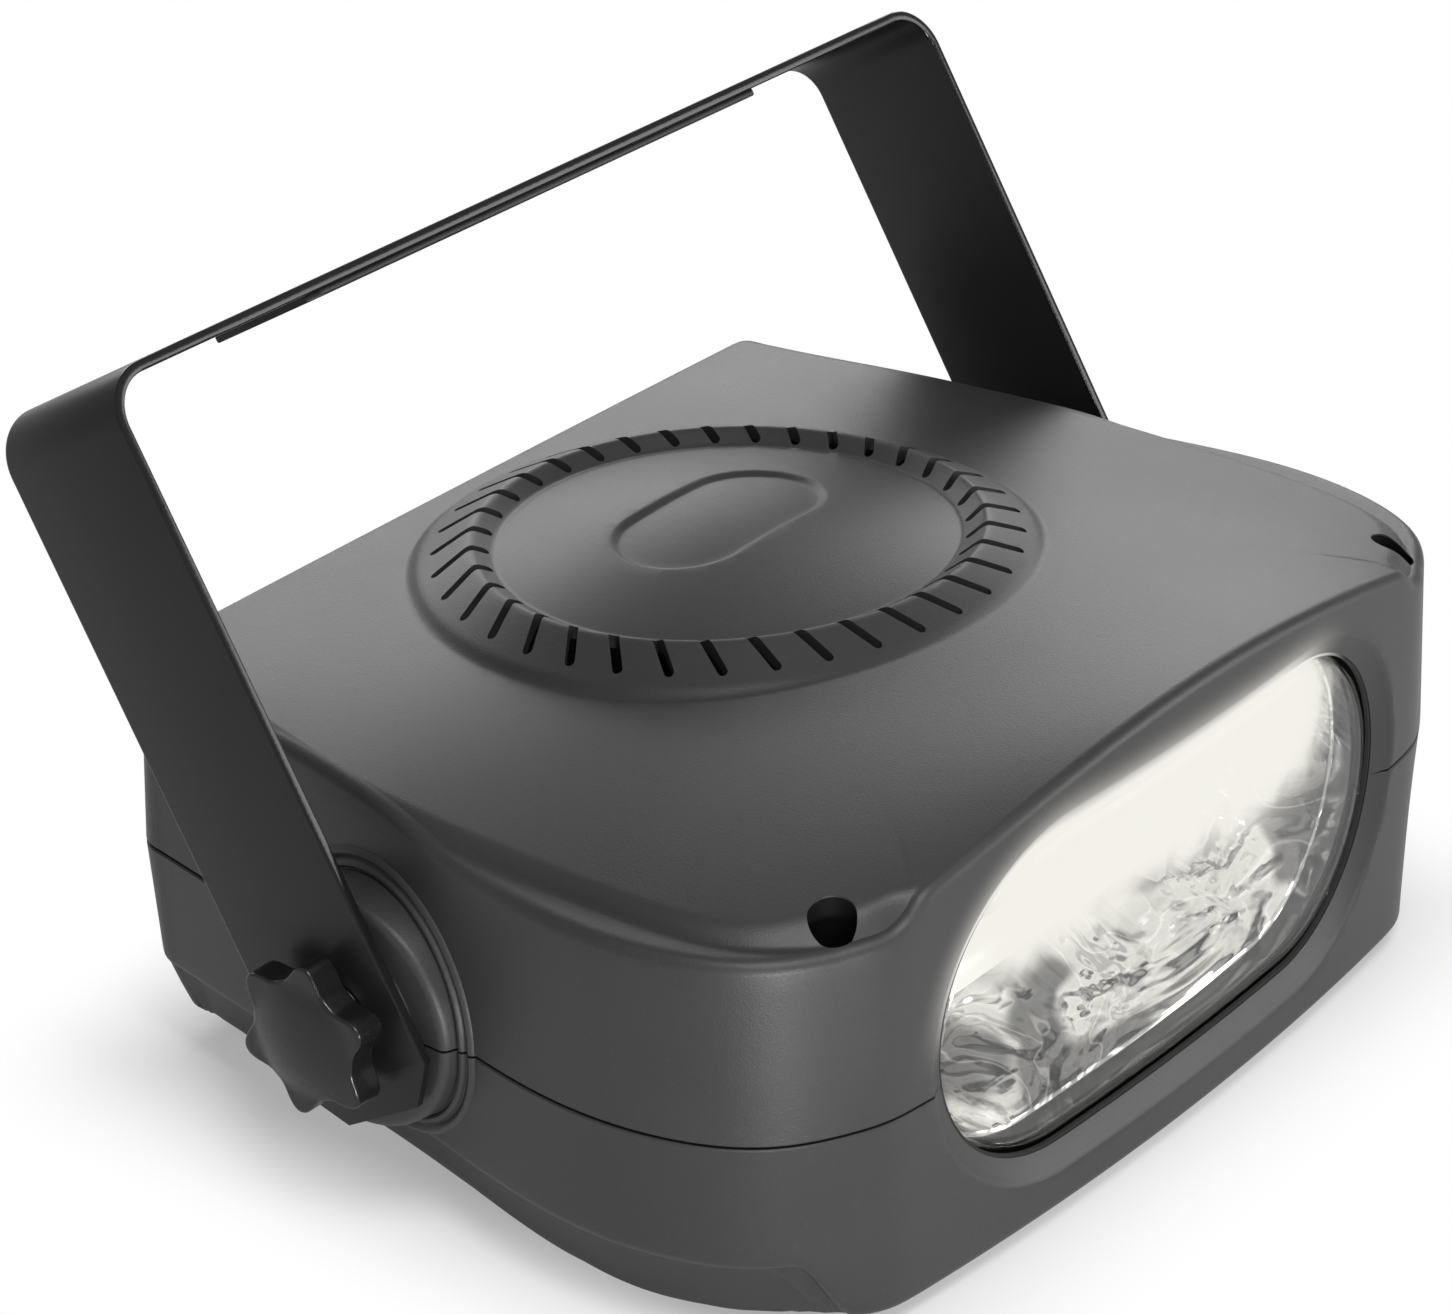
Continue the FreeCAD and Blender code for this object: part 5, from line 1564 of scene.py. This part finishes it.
# ---------------------------------------------------------------------------------------------------
# Bracket and knobs
# ---------------------------------------------------------------------------------------------------
@dataclass
class Bracket:
    """U bracket bent from strip, with broken edges, clipped ends and a stiffening strip under the crossbar."""

    finishes: Finishes
    half: float = 113.4
    sheet: float = 2.0
    width: float = 33.0
    reach: float = 115.2
    bend: float = 9.5
    tail: float = 18.4
    clip: float = 7.0
    lean: float = 31.7
    pivot: tuple[float, float, float] = (0.0, 6.45, 41.8)
    edge: float = 0.5
    rib_thick: float = 1.5
    rib: tuple[tuple[float, float], ...] = (
        (-62.0, 13.2), (-61.9, 13.3), (-60.0, 15.3), (-30.0, 15.5), (0.0, 15.5), (30.0, 15.5), (60.0, 15.3),
        (61.9, 13.3), (62.0, 13.2))
    crossbar_holes: tuple[tuple[float, float], ...] = ((0.0, 5.25), (-30.0, 3.25), (30.0, 3.25))
    stud_hole: float = 3.3

    def turned(self, points: np.ndarray) -> np.ndarray:
        """Points of the upright bracket, leant back about the pivots.

        Args:
            points: rows of places across, forward of the strip and along the arm.

        Returns:
            The points in the part's frame.
        """
        lean = math.radians(self.lean)
        x, v, w = points.T
        y = self.pivot[1] + v * math.cos(lean) + w * math.sin(lean)
        z = self.pivot[2] - v * math.sin(lean) + w * math.cos(lean)
        return np.column_stack([x, y, z])

    def track(self) -> tuple[np.ndarray, np.ndarray, np.ndarray]:
        """Middle line of the strip, from the left arm's clipped end to the right arm's.

        Returns:
            The line as across and along the arm, its outward directions and the half widths.
        """
        half, reach = self.half - self.sheet / 2, self.reach - self.sheet / 2
        bend = self.bend - self.sheet / 2
        wide = self.width / 2
        tail = -self.tail
        spots = [(-half, tail), (-half, tail + 0.01)]
        widths = [wide - self.clip, wide - self.clip]
        spots += [(-half, tail + self.clip), (-half, tail + self.clip + 0.5)]
        widths += [wide, wide]
        spots += [(-half, w) for w in np.linspace(tail + 12, reach - bend, 12)]
        for a in np.linspace(np.pi, np.pi / 2, 17)[1:]:
            spots.append((-half + bend + bend * math.cos(a), reach - bend + bend * math.sin(a)))
        spots += [(x, reach) for x in np.linspace(-half + bend, 0, 10)[1:]]
        widths += [wide] * (len(spots) - len(widths))
        line = np.array(spots)
        wides = np.array(widths)
        line = np.concatenate([line, line[:-1][::-1] * [-1, 1]])
        wides = np.concatenate([wides, wides[:-1][::-1]])
        return line, beside(np.gradient(line, axis=0)), wides

    def strip(self, line: np.ndarray, out: np.ndarray, wides: Sequence[float], thick: float,
              name: str) -> bpy.types.Object:
        """Sweeps a flat section with broken edges along a line.

        Args:
            line: middle line, as across and along the arm.
            out: its outward directions.
            wides: half widths.
            thick: the sheet's thickness.
            name: the object's name.

        Returns:
            The strip.
        """
        turn = np.linspace(0, np.pi / 2, 4)
        rows = []
        for spot, away, wide in zip(line, out, wides):
            section = []
            for quarter, (a, b) in enumerate(((1, 1), (-1, 1), (-1, -1), (1, -1))):
                for t in turn if quarter % 2 == 0 else turn[::-1]:
                    section.append((a * (thick / 2 - self.edge + self.edge * math.cos(t)),
                                    b * (wide - self.edge + self.edge * math.sin(t))))
            row = np.array([(spot[0] + away[0] * n, v, spot[1] + away[1] * n) for n, v in section])
            rows.append(self.turned(row))
        return skinned(name, rows, self.finishes["powder_coat"], capped=True)

    def hole(self, spot: Sequence[float], radius: float, axis: int) -> bpy.types.Object:
        """Cutter of a hole through an arm (axis 0) or the crossbar (axis 2)."""
        rows = circle_rows([(radius, -8.0), (radius, 8.0)], axis, spot, 48)
        return skinned("hole", [self.turned(row) for row in rows], None, capped=True)

    def crossbar_tools(self) -> list[bpy.types.Object]:
        """Cutters of the crossbar's holes."""
        return [self.hole((x, 0, self.reach), radius, 2) for x, radius in self.crossbar_holes]

    def build(self) -> None:
        """Makes the bracket."""
        strip = self.strip(*self.track(), self.sheet, "bracket_strip")
        ends, wides = zip(*self.rib)
        line = np.column_stack([ends, np.full(len(ends), self.reach - self.sheet - 0.6)])
        rib = self.strip(line, np.tile([0.0, 1.0], (len(ends), 1)), wides, self.rib_thick, "crossbar_strip")
        cut(rib, joined("rib_tools", self.crossbar_tools()))
        tools = self.crossbar_tools() + [self.hole((side * self.half, 0, 0), self.stud_hole, 0) for side in (-1, 1)]
        cut(strip, joined("strip_tools", tools))
        made = joined("bracket_strip", [tidy(strip, 30.0, 0.0005), tidy(rib, 30.0, 0.0005)])
        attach(made, "bracket")
        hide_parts("bracket")
        LOG.info("bracket_strip: %d faces", len(made.data.polygons))


@dataclass
class StarKnob:
    """Clamp knob with convex lobes, rounded rims and a gently domed face."""

    finishes: Finishes
    side: int
    pivot: tuple[float, float] = (6.45, 41.8)
    start: float = 115.0
    tip: float = 14.8
    valley: float = 11.2
    thick: float = 7.0
    crown: float = 1.9
    rim: float = 0.6
    foot: float = 0.35
    hub: float = 7.5
    bore: float = 3.05
    bore_depth: float = 5.4
    lobes: int = 6
    first: float = 5.0
    columns: int = 192

    def reach(self, turn: np.ndarray) -> np.ndarray:
        """Radius of the star at an angle."""
        wave = 0.5 + 0.5 * np.cos(self.lobes * (turn - math.radians(self.first)))
        return self.valley + (self.tip - self.valley) * wave ** 1.6

    def rings(self, star: np.ndarray) -> list[tuple[np.ndarray, np.ndarray | float]]:
        """Radii and heights of the rings from the bore's mouth to the middle of the face.

        Args:
            star: the star's radius round the knob.

        Returns:
            The rings.
        """
        hub = np.full(len(star), self.hub)
        rows = [(np.full(len(star), self.bore), 0.0), (hub, 0.0), (hub, 0.9), (hub + 0.3, 1.0), (star - 0.9, 1.2)]
        rows += [(star + (-self.foot + self.foot * math.sin(a)), 1.2 + self.foot - self.foot * math.cos(a))
                 for a in np.linspace(0.5, 1.57, 4)]
        rows += [(star + (-self.rim + self.rim * math.cos(a)), self.thick - self.rim + self.rim * math.sin(a))
                 for a in np.linspace(0, 1.45, 7)]
        face_edge = rows[-1][0]
        disc = self.valley - self.rim
        for share in (0.985, 0.96, 0.92, 0.87, 0.8, 0.7, 0.58, 0.42, 0.25, 0.1, 0.0):
            round_share = min((1 - share) / 0.2, 1.0)
            radius = share * (face_edge * (1 - round_share) + disc * round_share)
            lift = self.crown * soft_max(1 - (radius / disc) ** 2, np.zeros(len(star)), 0.12)
            rows.append((radius, self.thick + 0.02 + lift))
        return rows

    def build(self) -> None:
        """Makes the knob."""
        turn = np.linspace(0, FULL_TURN, self.columns, endpoint=False)
        rows = []
        for radius, height in self.rings(self.reach(turn)):
            x = np.broadcast_to(self.side * (self.start + height), turn.shape)
            y = self.pivot[0] + self.side * radius * np.sin(turn)
            rows.append(np.column_stack([x, y, self.pivot[1] + radius * np.cos(turn)]))
        bottom = rows[0].copy()
        bottom[:, 0] = self.side * (self.start + self.bore_depth)
        cap = np.tile([bottom[0, 0], *self.pivot], (len(turn), 1))
        label = "left" if self.side < 0 else "right"
        made = skinned(f"star_knob_{label}", [cap, bottom] + rows, self.finishes["knob_plastic"], crease=40.0)
        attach(made, f"clamp_{label}")
        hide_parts(f"clamp_knob_{label}")
        LOG.info("star_knob_%s: %d faces", label, len(made.data.polygons))


# ---------------------------------------------------------------------------------------------------
# Pieces shown by their CAD solids
# ---------------------------------------------------------------------------------------------------
NODE_FINISHES: dict[str, tuple[str, ...]] = {
    "charcoal_moulding": ("upper_shell", "lower_shell"),
    "clear_window": ("front_lens",),
    "crinkled_bright_metal": ("reflector",),
    "lit_xenon_tube": ("flash_tube",),
    "lit_ceramic": ("tube_holder_left", "tube_holder_right"),
    "black_rubber": ("rubber_feet",),
    "gasket_rubber": ("lens_gasket",),
    "white_ceramic": ("ballast_resistor",),
    "green_board": ("circuit_board",),
    "black_steel": ("housing_screws",),
    "zinc_steel": ("board_screws", "speed_pot", "pot_nut", "knob_washer_left",
                   "knob_washer_right", "pivot_nut_left", "pivot_nut_right", "knob_stud_left",
                   "knob_stud_right", "fuse"),
    "sleeved_can": ("discharge_capacitor_left", "discharge_capacitor_right"),
    "varnished_winding": ("trigger_transformer",),
    "dark_part": ("board_components",),
    "black_fitting": ("pot_shaft", "speed_knob", "fuse_holder", "fuse_cap", "cord_gland", "gland_nut"),
    "fibre_washer": ("friction_pad_left", "friction_pad_right"),
    "powder_coat": ("bracket",),
    "knob_plastic": ("clamp_knob_left", "clamp_knob_right"),
}


def dress_nodes(finishes: Finishes) -> None:
    """Gives every CAD node its finish, also those that a piece of this script then stands for.

    Args:
        finishes: the materials.
    """
    for finish, names in NODE_FINISHES.items():
        for name in names:
            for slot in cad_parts[name].material_slots:
                slot.material = finishes[finish]


# ---------------------------------------------------------------------------------------------------
# Studio
# ---------------------------------------------------------------------------------------------------
@dataclass
class Studio:
    """Pale floor, soft lamps, white surround and the camera."""

    eye: tuple[float, float, float] = (-631.16, -497.82, 489.09)
    focus: float = 4969.6
    sensor: float = 36.0
    frame_size: tuple[float, float] = (1452.0, 1314.0)
    axis: tuple[float, float] = (824.15, 657.34)
    forward: tuple[float, float, float] = (0.70069, 0.54070, -0.46549)
    right: tuple[float, float, float] = (0.61105, -0.79159, 0.0003)
    floor_reach: float = 6000.0

    def camera(self) -> None:
        """Makes the camera."""
        width, height = self.frame_size
        data = bpy.data.cameras.new("camera")
        data.sensor_width = self.sensor
        data.lens = self.focus * self.sensor / width
        data.shift_x = (width / 2 - self.axis[0]) / width
        data.shift_y = (self.axis[1] - height / 2) / width
        data.clip_start, data.clip_end = 0.02, 20.0
        made = bpy.data.objects.new("camera", data)
        ahead = Vector(self.forward).normalized()
        across = Vector(self.right).normalized()
        up = across.cross(ahead)
        turn = Matrix((across, up, -ahead)).transposed().to_4x4()
        made.matrix_world = Matrix.Translation(Vector(self.eye) * MM) @ turn
        bpy.context.scene.collection.objects.link(made)
        bpy.context.scene.camera = made

    def lamp(self, name: str, place: Sequence[float], aim: Sequence[float], size: Sequence[float],
             power: float) -> None:
        """Adds one soft area lamp.

        Args:
            name: the lamp's name.
            place: its middle, in metres.
            aim: the point that it faces.
            size: its width and height.
            power: its power in watts.
        """
        data = bpy.data.lights.new(name, "AREA")
        data.shape = "RECTANGLE"
        data.size, data.size_y = size
        data.energy = power
        made = bpy.data.objects.new(name, data)
        made.visible_camera = False
        made.location = place
        made.rotation_mode = "QUATERNION"
        made.rotation_quaternion = (Vector(aim) - Vector(place)).to_track_quat("-Z", "Y")
        bpy.context.scene.collection.objects.link(made)

    def surround(self) -> None:
        """White surround for the camera and for reflections, a plain level for the rest."""
        graph = Graph("surround", world=True)
        camera, clear, gloss = graph.rays()
        share = camera.at_least(clear) + gloss * 0.22
        level = graph.add("ShaderNodeMapRange", inputs={"Value": share, "To Min": 0.25, "To Max": 1.0})
        back = graph.add("ShaderNodeBackground", inputs={"Color": (1.0, 1.0, 1.0), "Strength": level})
        bpy.context.scene.world = graph.finish(back, "ShaderNodeOutputWorld")

    def ground(self) -> None:
        """Pale floor that keeps the object's soft shadow, with painted shade in a band round its footprint."""
        graph = Graph("pale_floor")
        tone = graph.blend(graph.noise(1.5, 2.0, 0.5), (0.70, 0.70, 0.70), (0.73, 0.73, 0.73))
        plain = graph.add("ShaderNodeBsdfPrincipled", inputs={
            "Base Color": tone, "Roughness": 0.9, "Specular IOR Level": 0.1})
        white = graph.add("ShaderNodeEmission", inputs={"Color": (1.0, 1.0, 1.0), "Strength": 1.0})
        camera, clear, gloss = graph.rays()
        x, y, _ = graph.axes()
        # Painted shade: near the footprint the floor shows less white and more of its lit tone, which darkens it round
        # the object even where no shadow falls.
        aside, along = (x * x).root() - 92.0, ((y + 7.0) * (y + 7.0)).root() - 74.0
        away = (aside.at_least(0.0) ** 2 + along.at_least(0.0) ** 2).root()
        share = camera.at_least(clear) * away.fade(-4.0, 38.0, 0.3, 1.0) + gloss * 0.2
        material = graph.finish(graph.add("ShaderNodeMixShader", inputs={0: share, 1: plain, 2: white}))
        reach = self.floor_reach
        points = np.array([(-reach, -reach, 0), (reach, -reach, 0), (reach, reach, 0), (-reach, reach, 0)])
        new_object("floor", points, [(0, 1, 2, 3)], material, smooth=False)

    def build(self) -> None:
        """Makes the studio."""
        self.camera()
        self.surround()
        self.ground()
        aim = (0.0, 0.0, 0.08)
        self.lamp("back", (0.48, 0.50, 0.38), aim, (1.0, 0.30), 4.3)
        self.lamp("corner", (-0.28, -0.34, 0.03), (-0.09, -0.08, 0.06), (0.12, 0.05), 1.0)
        self.lamp("edge", (-0.92, -0.86, 0.40), (-0.09, 0.0, 0.08), (0.1, 0.1), 1.4)
        self.lamp("right_front", (0.85, -1.05, 0.35), aim, (0.8, 0.6), 8.0)
        self.lamp("above", (-0.42, -0.58, 1.33), aim, (0.5, 0.5), 12.0)
        bpy.context.scene.view_settings.view_transform = "Standard"


def main() -> None:
    """Builds every sub-assembly in order."""
    logging.basicConfig(level=logging.INFO, format="%(message)s")
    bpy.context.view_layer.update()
    finishes = {one.name: one.build() for one in FINISHES}
    dress_nodes(finishes)
    form = HousingForm()
    Housing(form, finishes, RingArray()).build()
    Lamp(form, finishes).build()
    Bracket(finishes).build()
    for side in (-1, 1):
        StarKnob(finishes, side).build()
    Studio().build()


if __name__ == "__main__":
    main()
